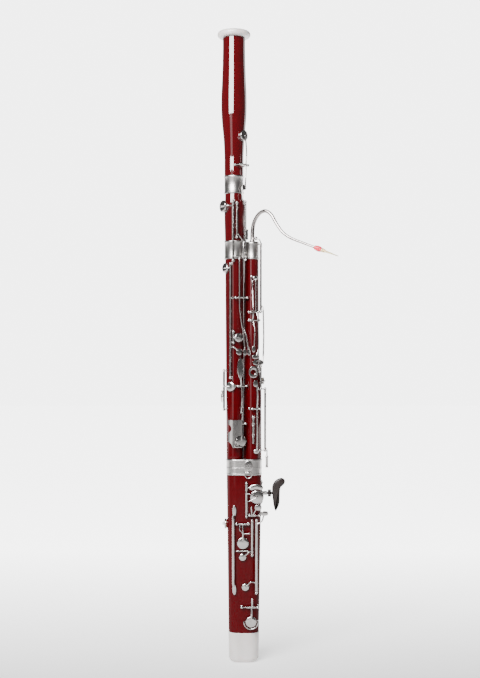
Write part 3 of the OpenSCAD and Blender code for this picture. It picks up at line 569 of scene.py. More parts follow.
def screw_head(shape, centre, way, r):
    """A slotted head: a disc with two half rounds on it, 0.6 tall in all."""
    shape.lathe(centre, way, [(0, -0.3), (r, -0.3), (r, 0.15), (0, 0.15)], 16)
    u = way.orthogonal().normalized()
    v = way.cross(u)
    for s in (-1, 1):
        half = [(cos(radians(k)) * r * 0.98, s * (0.22 + sin(radians(k)) * (r * 0.95 - 0.22)))
                for k in range(0, 181, 20)]
        shape.rings([[centre + u * x + v * y + way * h for x, y in half] for h in (0.1, 0.45)]
                    + [[centre + u * x * 0.85 + v * (y * 0.85 + s * 0.04) + way * 0.6 for x, y in half]])


def ball_post(shape, foot, ball, along):
    """A turned post: flange on the wood, waisted stem and a ball with a flat face for the pivot screw."""
    way = (ball - foot).normalized()
    root = surface(foot, ball)
    h = (ball - root).length
    shape.lathe(root, way, [(0, -0.8), (3, -0.8), (3.05, 0.35), (2.7, 0.75), (1.9, 1.0), (1.55, 1.6),
                            (1.35, h * 0.5), (1.6, h - 3.2), (2.2, h - 2.6), (0, h - 1)], 20)
    profile = [(0, -2.9), (1.6, -2.86), (2.0, -2.3)]
    profile += [(BALL_R * cos(radians(k)), BALL_R * sin(radians(k))) for k in range(-42, 43, 12)]
    profile += [(2.0, 2.3), (1.6, 2.86), (0, 2.9)]
    shape.lathe(ball, along, profile, 24)


def add_posts():
    for node, names in POST_NODES.items():
        shape = Shape()
        for name in names:
            ends = axle_ends(name)
            j, a, _, first, last, n = AXLES[name]
            feet = (at(j, a, n, first[1], first[0]), at(j, a, n, last[1], last[0]))
            for foot, ball in zip(feet, ends):
                ball_post(shape, foot, ball, (ends[1] - ends[0]).normalized())
        if node == "wing_posts":
            for z in LOCK_GUIDES:
                lock_guide(shape, z)
        make(node + "_turned", shape, SILVER, "body", node)


def add_rods():
    shape = Shape()
    for name in AXLES:
        a, b = axle_ends(name)
        way = (b - a).normalized()
        shape.lathe(a, way, [(0, -3.1), (1.3, -3.1), (1.3, (b - a).length + 3.1),
                             (0, (b - a).length + 3.1)], 16)
        screw_head(shape, a - way * 3.0, -way, 1.3)
        screw_head(shape, b + way * 3.0, way, 1.3)
    make("pivot_screws", shape, SILVER, "body", "pivot_rods")


def lock_guide(shape, z):
    centre = LOCK_AT + Vector((0, 0, z))
    shape.lathe(centre, UP, [(2.08, -2.9), (3.2, -2.9), (3.55, -2.4), (3.3, -1.6), (3.3, 1.6), (3.55, 2.4),
                             (3.2, 2.9), (2.08, 2.9)], 24, loop=True)
    shape.sweep([(LOCK_AT.x, LOCK_AT.y + 3, z), (LOCK_AT.x, -11, z)], [1.5, 1.9])


def hinge(shape, axle, f0, f1):
    """The hinge tube: turned down between end collars, bored for its rod."""
    a, b = axle_ends(axle)
    way = (b - a).normalized()
    length = (b - a).length
    start = max(BALL_R + 0.25, length * f0)
    end = length - max(BALL_R + 0.25, length * (1 - f1))
    r = TUBE_R
    collar = min(2.4, (end - start) / 5)
    outer = [(r - 0.15, start), (r, start + 0.15), (r, start + collar - 0.3),
             (r - 0.35, start + collar - 0.1), (r - 0.35, start + collar),
             (r - 0.2, start + collar + 0.1), (r - 0.2, end - collar - 0.1), (r - 0.35, end - collar),
             (r - 0.35, end - collar + 0.1), (r, end - collar + 0.3), (r, end - 0.15), (r - 0.15, end)]
    shape.lathe(a, way, [(1.42, start), *outer, (1.42, end)], 24, loop=True)


def cup(metal, skin, name, boss=None):
    """A spun cup with a rolled rim, and the pad that bulges from it."""
    j, a, t, z, r, _, n = PADS[name]
    base, way = at(j, a, n, z, t), outward(a)
    metal.lathe(base, way, [
        (0, 2.27), (r - 0.9, 2.27), (r - 0.88, 0.85), (r - 0.7, 0.66), (r - 0.2, 0.66), (r, 0.9), (r, 1.35),
        (r - 0.12, 1.6), (r - 0.12, 2.4), (r - 0.35, 2.95), (r - 0.9, 3.45), (r - 1.6, 3.85),
        (r * 0.62, 4.25), (r * 0.3, 4.5), (0, 4.58)], 48)
    if boss:
        metal.lathe(base, way, [(0, 3.5), (2.7, 3.5), (2.7, boss + 1.3), (2.3, boss + 1.9),
                                (1.2, boss + 2.1), (0, boss + 2.1)], 24)
    skin.lathe(base, way, [(0, 0.12), (r * 0.5, 0.1), (r - 2, 0), (r - 1.3, 0.12), (r - 1.0, 0.5),
                           (r - 0.97, 2.2), (0, 2.2)], 40)


def key(name, axle, f0=0.0, f1=1.0, pad=None, boss=None, arms=(), touches=(), more=None):
    """A key: hinge tube, cup and pad, arms as (points, radius), touches as (centre, facing, outline)."""
    metal = Shape()
    skin = Shape()
    hinge(metal, axle, f0, f1)
    if pad:
        cup(metal, skin, pad, boss)
    for points, r in arms:
        metal.sweep(points, [r + 0.12, r - 0.15, r - 0.1, r + 0.1], seg=16)
    for centre, a, outline in touches:
        metal.plate(centre, a, outline)
    if more:
        more(metal)
    make(name + "_silver", metal, SILVER, name, name)
    if pad:
        make(name + "_pad", skin, PAD, name, name, sharp=50)


# ------------------------------------------------------------------ the wood, its bands and caps
def oval_loop(rounds, z, seg=96):
    """The outline round one or more circles at height z."""
    ring = []
    for k in range(seg):
        c, s = cos(2 * pi * (k + 0.5) / seg), sin(2 * pi * (k + 0.5) / seg)
        x, y, r = max(rounds, key=lambda q: q[0] * c + q[1] * s + q[2])
        ring.append(Vector((x + r * c, y + r * s, z)))
    return ring


def add_seats(shape, node):
    """The raised wooden seats under the pads, with an eased rim round each tone hole."""
    for name in SEATS[node]:
        j, a, t, z, r, seat, _ = PADS[name]
        rs = r - 1.6
        shape.lathe(at(j, a, 0, z, t), outward(a), [
            (rs * 0.6, seat - 4), (rs + 0.9, seat - 6), (rs + 0.25, seat - 1.6), (rs - 0.1, seat - 0.4),
            (rs - 0.5, seat), (rs * 0.66, seat), (rs * 0.6, seat - 0.4)], 40, loop=True)


def add_bell():
    x = Vector((BELL_X, 0, 0))
    wood = Shape()
    outer = [(19.8, 1029.1), (20.15, 1029.5)]
    outer += [(between(BELL_PROFILE, z), z) for z in range(1036, 1318, 6)]
    outer += [(23.8, 1321.6), (23.4, 1322)]
    wood.lathe(x, UP, [(14, 1029.1), *outer, (MOUTH_R, 1322), (MOUTH_R, 1300.2), (18.1, 1299.8),
                       (14.2, 1040)], 96, loop=True)
    add_seats(wood, "bell_body")
    make("bell_wood", wood, WOOD, "body", "bell_body")
    ring = Shape()
    rim = [(29 + 6 * cos(radians(k)), 1329 + 6.5 * sin(radians(k))) for k in range(-78, 79, 6)]
    ring.lathe(x, UP, [(MOUTH_R + 0.05, 1322.3), (27.8, 1322.1), *rim, (27.6, 1335.9), (23, 1335.9),
                       (21.6, 1335.5), (MOUTH_R + 0.05, 1334.6)], 96, loop=True)
    make("bell_rim", ring, IVORY, "body", "bell_ring")
    ferrule = Shape()
    ferrule.lathe(x, UP, [
        (15.6, 991), (20.1, 991), (20.7, 991.5), (20.9, 992.4), (20.9, 993.6), (20.7, 994.5),
        (20.3, 995), (20.05, 995.4), (20.05, 1024.6), (20.3, 1025), (20.7, 1025.5), (20.9, 1026.4),
        (20.9, 1027.6), (20.6, 1028.5), (20.2, 1028.9), (15.6, 1028.9)], 96, loop=True)
    make("bell_band", ferrule, BAND_SILVER, "body", "bell_ferrule")


def add_long_joint():
    x = Vector((BASS_X, 0, 0))
    wood = Shape()
    side = [(17.2, 429.05), (17.45, 429.4)]
    side += [(bass_radius(z), z) for z in range(435, 851, 8)]
    side += [(bass_radius(851.6), 851.6), (20.3, 852), (20.3, 891), (bass_radius(891.4), 891.4)]
    side += [(bass_radius(z), z) for z in range(898, 974, 6)]
    side += [(22.9, 975.4), (22.5, 976.6), (21.8, 977)]
    wood.lathe(x, UP, [(0, 429.05), *side, (0, 977)], 96)
    wood.lathe(Vector((BELL_X, 0, 0)), UP,
               [(0, 976), (19.6, 976), (19.5, 977.6), (19.2, 978.4), (19.2, 990.4),
                (18.9, 990.9), (0, 990.9)], 96)
    add_seats(wood, "bass_joint")
    make("long_joint_wood", wood, WOOD, "body", "bass_joint")
    band = Shape()
    band.lathe(x, UP, [
        (20.4, 852.1), (21.5, 852.1), (22.1, 852.5), (22.3, 853.3), (22.3, 854.7), (22.1, 855.5),
        (21.7, 856), (21.45, 856.5), (21.45, 886.5), (21.7, 887), (22.1, 887.6), (22.3, 888.4),
        (22.3, 889.6), (22.0, 890.5), (21.4, 890.9), (20.4, 890.9)], 96, loop=True)
    make("long_joint_band", band, BAND_SILVER, "body", "bass_band")


def wing_lip(z):
    """The lip's outline at height z: its hollow side follows the round of the long joint."""
    r = bass_radius(z) + 0.4
    hollow = [Vector((BASS_X + sqrt(r * r - y * y), y, z)) for y in (2.2, 3.5, 5, 6.5, 8, 8.8)]
    return [Vector((9, 2.05, z)), *hollow, Vector((9, 8.95, z))]


def add_wing_joint():
    wood = Shape()
    heights = [429.05, 429.5] + list(range(435, 705, 6)) + list(range(705, 850, 12)) + [851.4, 851.9]
    rings = []
    for z in heights:
        ring = oval_loop(wing_rounds(z), z)
        ease = 0.4 if z in (heights[0], heights[-1]) else 0
        middle = Vector((WING_X, 0, z))
        rings.append([p + (middle - p).normalized() * ease for p in ring])
    wood.rings(rings)
    wood.rings([wing_lip(z) for z in (429.1, 500, 570, 640, 710, 780, 850.9)])
    add_seats(wood, "wing_joint")
    make("wing_wood", wood, WOOD, "body", "wing_joint")
    cap = Shape()
    cap.lathe(Vector((WING_X, 0, 0)), UP, [
        (11.1, 852.1), (13.6, 852.1), (14.1, 852.5), (14.3, 853.2), (14.3, 854.6), (14.0, 855.5),
        (13.5, 856), (13.3, 856.5), (13.3, 883.4), (13.6, 884.2), (13.9, 885.4), (13.8, 886.8),
        (13.3, 888.2), (12.6, 889.2), (11.6, 889.5), (7.2, 889.5), (6.4, 889.1), (6.25, 888),
        (6.25, 886.3), (11.1, 886.3)], 72, loop=True)
    make("wing_top_cap", cap, BAND_SILVER, "body", "wing_cap")


def add_boot():
    wood = Shape()
    heights = [63.05, 63.4] + list(range(70, 390, 10)) + [394.5, 395]
    rings = []
    for z in heights:
        ease = -0.35 if z in (63.05, 395) else 0
        rings.append(oval_loop(boot_rounds(z, ease), z))
    rings += [oval_loop(boot_rounds(395, -1.6), z) for z in (395, 425.9)]
    wood.rings(rings)
    add_seats(wood, "boot_body")
    make("boot_wood", wood, WOOD, "body", "boot_body")
    band = Shape()
    levels = [(395.1, -0.2), (395.5, 0.2)]
    for z, tall in ((396, 3), (409, 3), (425, 3)):
        levels += [(z, 0.25), (z + 0.25, 0.65), (z + 0.8, 0.88), (z + tall - 0.8, 0.88),
                   (z + tall - 0.25, 0.65), (z + tall, 0.25)]
    levels += [(428.4, 0.15), (428.9, -0.3)]
    band.rings([oval_loop(boot_rounds(395.1, -1.35), 395.1)]
               + [oval_loop(boot_rounds(z, grow), z) for z, grow in levels])
    make("boot_top_band", band, BAND_SILVER, "body", "boot_band")
    cap = Shape()
    levels = [(0, 10.3, 15.6), (0.25, 10.4, 16.1), (0.9, 10.5, 16.5), (2.2, 10.7, 17.3), (4, 11, 18.6),
              (5.6, 11.2, 19.5), (6.5, 11.3, 19.8), (6.8, 11.3, 19.6), (7.2, 11.4, 19.6),
              (7.5, 11.5, 20), (9, 11.5, 20.1), (30, 11.5, 20.4), (58, 11.6, 20.9), (61, 11.6, 21),
              (62.4, 11.6, 20.9), (62.9, 11.6, 20.5)]
    cap.rings([oval_loop([(-x, 0, r), (x, 0, r)], z) for z, x, r in levels])
    make("boot_foot_cap", cap, IVORY, "body", "boot_cap")


# ------------------------------------------------------------------ bocal and reed
# The bocal's route: across in its own plane, and height
BOCAL = [
    (0, 896), (0.4, 912), (2.6, 926), (9, 940), (18.5, 950), (29.5, 953.5), (39, 950), (47, 942),
    (54, 930), (62, 918), (72, 906), (86, 896), (101, 889), (117, 883), (135, 876), (152, 869.5),
]


def bocal_at(x, z):
    return Vector((WING_X + x * cos(BOCAL_TURN), -x * sin(BOCAL_TURN), z))


def add_bocal():
    tube = Shape()
    path = [Vector((WING_X, 0, 885.5))] + [bocal_at(x, z) for x, z in BOCAL]
    radii = [4.4] + [4.45 - 2.1 * i / (len(BOCAL) - 1) for i in range(len(BOCAL))]
    tube.sweep(path, radii, out=Vector((sin(BOCAL_TURN), cos(BOCAL_TURN), 0)), seg=28, steps=10)
    tube.lathe((WING_X, 0, 0), UP, [
        (2.7, 866), (3.75, 866), (3.75, 889.9), (5.3, 890.1), (5.6, 890.6), (5.6, 892), (5.3, 892.5),
        (4.6, 892.8), (4.5, 894), (2.7, 894)], 32, loop=True)
    nipple = Vector((0.6, -0.8, 0)).normalized()
    root = Vector((WING_X, 0, 896))
    tube.lathe(root, nipple, [(0, 3), (3, 3.6), (2.2, 4.6), (1.6, 5), (1.6, 8.7), (1.3, 9.1), (0.5, 9.1),
                              (0.45, 8.4), (0, 8.4)], 20)
    make("bocal_silver", tube, BOCAL_SILVER, "bocal", "bocal_tube")
    cork = Shape()
    cork.lathe((WING_X, 0, 0), UP, [(3.9, 866.1), (4.9, 866.1), (5.25, 866.8), (5.28, 884.2), (5.1, 884.9),
                                    (3.9, 884.9)], 32, loop=True)
    make("bocal_cork_sleeve", cork, CORK, "bocal", "bocal_cork")


def add_reed():
    tip = bocal_at(*BOCAL[-1])
    way = (tip - bocal_at(*BOCAL[-2])).normalized()
    wide = way.cross(Vector(UP)).normalized()
    thin = wide.cross(way).normalized()
    cane = Shape()
    seg = 40
    for side in (-1, 1):
        rings = []
        for h, w, d in [(5, 3.3, 3.3), (12, 3.5, 3.1), (16, 4.1, 2.5), (22, 5.1, 2.0), (30, 6.1, 1.5),
                        (38, 6.8, 1.1), (44, 7.15, 0.75), (46.4, 7.2, 0.5)]:
            ring = []
            for k in range(seg + 1):
                c, s = cos(pi * k / seg), sin(pi * k / seg)
                ring.append(tip + way * h + wide * (w * c) + thin * (side * (0.08 + d * s)))
            for k in range(seg, -1, -1):
                c, s = cos(pi * k / seg), sin(pi * k / seg)
                ring.append(tip + way * h + wide * (w * c * 0.96) + thin * (side * (0.04 + (d * 0.55) * s)))
            rings.append(ring)
        cane.rings(rings)
    cane.lathe(tip, way, [(2.75, -8), (3.3, -8), (3.45, -7.6), (3.45, 13.5), (2.75, 13.5)], 32, loop=True)
    make("reed_blades", cane, CANE, "reed", "reed_cane")
    wires = Shape()
    for h, w, d in ((11.5, 4.1, 4.0), (15.5, 4.55, 3.4)):
        for turn in (-0.42, 0.42):
            wires.sweep([tip + way * (h + turn) + wide * (w * cos(radians(k))) + thin * (d * sin(radians(k)))
                         for k in range(0, 360, 20)], 0.36, seg=8, steps=3, loop=True)
    make("reed_wire_rings", wires, BRASS, "reed", "reed_wires")
    thread = Shape()
    shape_at = [(-7.8, 4.1), (-6, 4.6), (-4, 5.1), (-0.5, 5.9), (3, 6.0), (6.5, 5.2), (9, 4.1)]
    ridged = []
    for k in range(169):
        h = -7.8 + k * 0.1
        ridged.append((between(shape_at, h) - 0.14 + 0.14 * abs(sin(pi * k / 5.6)), h))
    thread.lathe(tip, way, [(3.7, -7.8), *ridged, (3.7, 9)], 40, loop=True)
    make("reed_turban", thread, THREAD, "reed", "reed_thread", sharp=70)


# ------------------------------------------------------------------ fittings on the body
def add_guards():
    shape = Shape()
    shape.sweep([(-22, -27, 166), (-22, -27, 240), (-22, -27, 312)], [2.3, 2.55, 2.55, 2.55, 2.3], seg=20)
    for z in (156, 322):
        shape.plate(Vector((-20, -24.5, z)), 0, oval(7.6, 22, 2.4), 1.8)
        shape.sweep([(-20, -17, z), (-20, -25, z)], [2.1, 1.7])
        for s in (-1, 1):
            screw_head(shape, Vector((-20, -26.0, z + s * 6.8)), Vector((0, -1, 0)), 1.6)
    for z in (170, 308):
        shape.sweep([(-22, -16, z), (-22, -27, z)], [2.3, 1.6])
    shape.sweep([(-15, -25.5, 237), (-2, -25.5, 237), (10, -25.5, 237)], [1.9, 1.6, 1.9])
    for x in (-14, 9):
        shape.sweep([(x, -17, 237), (x, -25.5, 237)], [1.9, 1.5])
    hoop = [(14.9 + 14.6 * cos(radians(k)), -27.5, 88 + 14.6 * sin(radians(k))) for k in range(180, 361, 12)]
    shape.sweep([(0.3, -12, 88.5), (0.3, -22, 88.5), (0.3, -26.5, 88.3), *hoop[1:-1], (29.5, -26.5, 88.3),
                 (29.5, -22, 88.5), (29.5, -12, 88.5)], 1.3, steps=4)
    shape.sweep([(14.9, -16, 73.4), (14.9, -27.5, 73.4)], [1.7, 1.2])
    make("boot_guard_wires", shape, SILVER, "body", "boot_guards")


def add_lock():
    shape = Shape()
    shape.lathe((7.2, -11.5, 893), UP, [
        (0, 0), (1.7, 0), (2.2, 0.5), (2.25, 3), (1.9, 3.6), (1.9, 8), (2.2, 8.6), (2.2, 14),
        (1.9, 14.6), (1.9, 18), (2.25, 18.6), (2.25, 21), (1.7, 21.9), (0, 21.9)], 24)
    shape.sweep([(7.2, -11.5, 904), (2, -8, 904), (-3, -4, 904)], [1.6, 1.3, 1.6])
    make("body_lock_pin", shape, DARK, "body", "body_lock")
    slide = Shape()
    knob = [(4 * cos(radians(k)), 56.5 + 4 * sin(radians(k))) for k in range(-48, 86, 8)]
    slide.lathe(LOCK_AT + Vector((0, 0, 462)), UP, [
        (0, 0), (1.5, 0), (1.95, 0.5), (1.95, 52.2), (2.6, 52.8), (2.6, 53.3), *knob, (0, 60.5)], 32)
    make("lock_slide_rod", slide, SILVER, "joint_lock_slide", "joint_lock_slide")


def add_strap():
    shape = Shape()
    shape.plate(Vector((9.5, -21.5, 414)), 0, oval(18, 26, 2.0, 48), 2.3, 0.2)
    for k in range(8):
        a = radians(k * 45)
        petal = Vector((9.5 + 4.1 * cos(a), -23.7, 414 + 5.6 * sin(a)))
        shape.lathe(petal, (0, -1, 0), [(0, 0), (1.5, 0), (1.3, 0.25), (0.7, 0.38), (0, 0.4)], 16)
    shape.lathe((9.5, -23.7, 414), (0, -1, 0), [(0, 0), (2, 0), (1.8, 0.25), (1, 0.4), (0, 0.42)], 20)
    for x in (-1, 1):
        screw_head(shape, Vector((9.5 + x * 6.9, -23.75, 414)), Vector((0, -1, 0)), 1.1)
    shape.lathe((9.5, -27.6, 402), (1, 0, 0),
                [(1.5, -2.5), (2.3, -2.5), (2.6, -2), (2.6, 2), (2.3, 2.5), (1.5, 2.5)], 28, loop=True)
    shape.sweep([(9.5, -22, 402), (9.5, -25.7, 402)], 2.3)
    make("strap_medallion", shape, SILVER, "body", "strap_plate")
    ring = Shape()
    lower = [(9.5 + 6.5 * cos(radians(k)), -27.6, 397 + 6.5 * sin(radians(k))) for k in range(180, 361, 12)]
    ring.sweep([(9.5, -27.6, 402), (14.8, -27.6, 402), (16, -27.6, 400.6), *lower[::-1], (3, -27.6, 400.6),
                (4.2, -27.6, 402)], 1.36, steps=4, loop=True)
    make("strap_ring_wire", ring, SILVER, "strap_ring", "strap_ring")


CRUTCH_EDGE = [
    (60, 364), (60.6, 371), (65, 380), (72, 385.7), (80, 388), (86, 385.2), (87.8, 379.5), (85, 373.5),
    (79.4, 368.5), (77.2, 362), (76.6, 348), (76, 335), (73, 326), (67.8, 317.7), (64.6, 324),
    (62.3, 336), (60.7, 350),
]


def inset(outline, d):
    """A closed outline moved in by d along its own normals."""
    n = len(outline)
    out = []
    for i, p in enumerate(outline):
        t = (outline[(i + 1) % n] - outline[i - 1]).normalized()
        out.append(p + Vector((t.z, 0, -t.x)) * d)
    return out


def add_hand_rest():
    socket = Shape()
    socket.lathe((0, 0, REST_Z), (1, 0, 0), [
        (3.0, 33), (4.4, 33), (4.6, 33.4), (4.6, 40), (4.3, 40.4), (4.3, 46.8), (4.6, 47.2), (4.6, 48.6),
        (4.3, 49), (3.0, 49)], 40, loop=True)
    rings = []
    for x, w, h in [(36.3, 4.4, 24.2), (36.6, 4.9, 24.9), (38.5, 4.9, 24.9), (39.1, 4.3, 24.3)]:
        rings.append([Vector((x, p[0], 358 + p[1])) for p in oval(w * 2, h * 2, 3.4, 48)])
    socket.rings(rings)
    for z in (338, 378):
        socket.sweep([(30, 0, z), (39, 0, z)], 2.1)
        screw_head(socket, Vector((39.6, 0, z)), Vector((1, 0, 0)), 2.1)
    make("hand_rest_plate", socket, SILVER, "body", "handrest_socket")
    rest = Shape()
    rest.lathe((0, 0, REST_Z), (1, 0, 0), [(0, 39.5), (2.5, 39.5), (2.85, 39.9), (2.85, 60), (3.6, 61),
                                           (3.8, 64), (0, 64)], 32)
    edge = smooth([(x, 0, z) for x, z in CRUTCH_EDGE], 8, loop=True)
    centre = sum(edge, Vector()) / len(edge)
    if (inset(edge, 1)[0] - centre).length > (edge[0] - centre).length:
        edge.reverse()
    rings = []
    for k in range(-80, 81, 10):
        d = 4.4 * (1 - cos(radians(k)))
        rings.append([p + Vector((0, 4.45 * sin(radians(k)), 0)) for p in inset(edge, d)])
    rest.rings(rings)
    make("crutch_grip", rest, DARK, "crutch", "crutch")
    collar = Shape()
    seg = 120
    rings = []
    for x, grow in [(51.05, -0.9), (51.3, -0.4), (51.8, 0), (57.2, 0), (57.7, -0.4), (57.95, -0.9)]:
        ring = []
        for k in range(seg):
            r = 7.25 + grow + 0.5 * cos(2 * pi * k / 5)
            ring.append(Vector((x, r * cos(2 * pi * k / seg), REST_Z + r * sin(2 * pi * k / seg))))
        rings.append(ring)
    inner = [[Vector((x, 3 * cos(2 * pi * k / seg), REST_Z + 3 * sin(2 * pi * k / seg))) for k in range(seg)]
             for x in (57.95, 51.05)]
    collar.rings(rings + inner, loop=True)
    make("crutch_collar", collar, DARK, "crutch_screw", "crutch_screw")


# ------------------------------------------------------------------ keys
def add_bell_and_long_joint_keys():
    j = BASS_X
    key("low_b_flat_key", "bell", 0.1, 0.9, "low_b_flat", arms=[
        (run(BELL_X, 50, (29.2, 1050.5, 4.6), (31, 1078, 4.6), (32.2, 1104), (31.6, 1112, -1.6)), 1.5),
        (run(BELL_X, 50, (29.2, 1050.5, 4.6), (28.8, 1003, 3)), 1.5),
    ], touches=[(at(BELL_X, 50, 27.3, 1003), 50, oval(13, 12))])
    key("bell_link_rod", "bell_link", arms=[
        (run(j, 54.2, (27.7, 964), (26.8, 971, -6.5), (23.6, 1003, -6.5)), 1.3),
        (run(j, 54.2, (27.7, 864), (31.8, 864, -2.2), (31.8, 864, -7.5)), 1.3)])
    key("low_b_flat_lever", "thumb", 0.51, 0.86, arms=[
        (run(j, 32, (28, 890, 4.5), (28.3, 770, 4.5), (28.5, 709, 4.5), (33, 692, 7.2), (35.5, 660, 12)),
         1.7)], touches=[(at(j, 32, 35.6, 655, 12.2), 32, oval(8, 13, 2.4))])
    key("low_b_lever", "thumb", 0.14, 0.48, arms=[
        (run(j, 32, (28, 857, -6.1), (28.3, 770, -5.8), (28.5, 745, -5.5), (32, 716, -3), (34.2, 696, 0),
             (35.5, 661, 2.6)), 1.6)],
        touches=[(at(j, 32, 35.6, 655, 2.6), 32, oval(8, 13, 2.4))])
    key("low_b_link_rod", "low_b_link", arms=[
        (run(j, 9.3, (28, 908), (28.9, 893, 10), (28.9, 887, 16)), 1.3)])
    key("low_b_key", "low_b", pad="low_b", boss=6.3, arms=[
        ([at(j, -7.8, 28, 963), at(j, -22, 35.5, 963), at(j, -42, 36, 963), over_pad("low_b", 6.3)], 1.5),
        ([at(j, -7.8, 28, 860), at(j, 2, 33.4, 858), at(j, 21, 33.4, 856)], 1.4)])
    key("low_c_sharp_key", "low_c_sharp", pad="low_c_sharp", arms=[
        ([at(j, -21.6, 25.3, 833), at(j, -38, 29, 833), at(j, -56, 26.6, 833)], 1.5),
        ([at(j, -21.6, 25.3, 666), at(j, -4, 28.8, 666), at(j, 14, 28.4, 659)], 1.5)],
        touches=[(at(j, 19.6, 27.4, 656), 19.6, oval(14, 14))])
    key("low_c_key", "low_c", pad="low_c", boss=6.2, arms=[
        ([at(j, -7.5, 25, 686), at(j, -4, 31, 686), at(j, 8, 31, 686), over_pad("low_c", 6.2)], 1.3)])
    key("low_e_flat_key", "low_e_flat", pad="low_e_flat", arms=[
        ([at(j, -75, 24.2, 583.4), at(j, -50, 28, 583), at(j, -29, 25, 583)], 1.4),
        ([at(j, -75, 24.2, 560), at(j, -102, 29.5, 560)], 1.4)],
        touches=[(at(j, -112, 28.6, 560.5), -112, oval(12, 26, 2.4))])
    key("low_d_lever", "low_d_lever", 0.2, 0.8, arms=[
        (run(j, 34, (26, 584, -1), (29, 600, -4)), 1.8),
        (run(j, 34, (26, 584, 0.5), (26.5, 556, 0.5), (23.6, 527, 0.5)), 1.8)],
        touches=[(at(j, 34, 28.6, 621, -5.5), 34, teardrop(15.5, 44, 48, -0.12))],
        more=lambda metal: metal.lathe(at(j, 34, 24.4, 540, 0.5), outward(34), [
            (0, 0), (2.6, 0.6), (2.9, 2), (2.7, 3.6), (1.8, 5), (0, 5.5)], 24))
    key("low_d_key", "low_d", 0.2, 0.8, "low_d", arms=[
        (run(j, 28, (25.5, 504.5, 1), (28.6, 486, 1), (27.8, 470, 1)), 1.8),
        (run(j, 28, (25.5, 504.5, 2.6), (28.2, 514, 2.6), (28.9, 528, 3)), 1.5)])


def add_wing_keys():
    w = WING_X
    key("whisper_key", "whisper", pad="whisper", arms=[
        ([(36, -7, 872), (37.5, -12.5, 880), (33, -14.5, 893), (27, -12, 896)], 1.3),
        ([(36, -7, 753), (40.5, -12.5, 749), (42, -16.5, 692), (41, -20.5, 648), (39.5, -22.5, 637)], 1.7)],
        more=lambda metal: ring_plate(metal, Vector((30, -23, 633.5)), 20, oval(25, 12, 2.4, 40), 3.2, 2))
    key("high_a_key", "high_a", 0.46, 0.84, "high_a", arms=[
        (run(w, 15, (21, 740, 1), (21.5, 780, 1), (20.5, 809, 1)), 1.3),
        (run(w, 15, (20.9, 740, 3.5), (26, 723, 5), (26.3, 665, 6), (26.8, 648.5, 1)),
         1.3)], touches=[(at(w, 15, 25.8, 645.5, -1.3), 15, oval(13, 9.5, 2.3))])
    hook = [at(w, 15, 18, 812 + 8.8 * sin(radians(k)), 1 + 8.8 * cos(radians(k)))
            for k in range(142, 230, 10)]
    key("high_c_key", "high_c", 0.08, 0.44, arms=[
        (run(w, 15, (20.5, 722.5, -5.5), (25.6, 735, -5.5), (25.6, 748, -5.5), (20, 783, -5.2),
             (18.2, 806, -4.9)), 1.3),
        (run(w, 15, (20.5, 722.5, -4.5), (25.5, 702, -2), (26.3, 667.5, -3.8)), 1.3)],
        touches=[(at(w, 15, 25.4, 662, -4.6), 15, oval(8, 14, 2.3))],
        more=lambda metal: metal.sweep(hook, 1.05, out=outward(15), flat=0.9, steps=3))
    key("c_sharp_key", "c_sharp", pad="c_sharp", arms=[
        ([at(w, 55, 21.5, 594), at(w, 73, 27, 594), at(w, 93, 25.6, 594)], 1.5),
        ([at(w, 55, 21.5, 614), at(w, 30, 24.6, 614), at(w, 20, 23.9, 614)], 1.5)],
        more=lambda metal: ring_plate(metal, at(w, 5, 22.8, 613.5), 5, oval(20, 25, 2.2, 48), 5.5, 1.8))
    key("wing_vent_key", "vent", 0.3, 0.85, "vent", arms=[
        (run(w, 25, (22, 536), (24.5, 560), (25, 588, -1)), 1.5),
        (run(w, 25, (22, 536), (22.5, 480), (21, 448)), 1.5)],
        touches=[(at(w, 15, 24.6, 589), 15, oval(10, 14, 2.3))])
    key("whisper_bridge", "bridge", arms=[
        ([at(w, 83.7, 27.2, 453), (49, -8, 448), (49, -8, 434)], 1.4),
        ([at(w, 83.7, 27.2, 570), (43.5, -12.5, 571)], 1.4)],
        more=lambda metal: metal.lathe((49, -8, 411), UP, [
            (0, 0), (2.4, 0), (3.1, 0.6), (3.1, 3), (2.7, 3.5), (2.7, 20), (3.1, 20.6), (3.1, 23.8),
            (2.4, 25), (0, 25)], 24))


def ring_plate(metal, centre, a, outline, hole, thick):
    """A touch with a round hole through it."""
    u = Vector((cos(radians(a)), sin(radians(a)), 0))
    n = outward(a)
    z = Vector(UP)
    rings = []
    for d, h in [(0.4, 0), (0.05, 0.3), (0, thick * 0.6), (0.3, thick - 0.15), (0.8, thick)]:
        rings.append([centre + u * x + z * y + n * h for x, y in shrink(outline, d)])
    for r, h in [(hole + 0.5, thick), (hole + 0.1, thick - 0.2), (hole, thick - 0.5), (hole, 0.2),
                 (hole + 0.2, 0)]:
        ring = []
        for x, y in outline:
            f = r / sqrt(x * x + y * y)
            ring.append(centre + u * x * f + z * y * f + n * h)
        rings.append(ring)
    metal.rings(rings, loop=True)


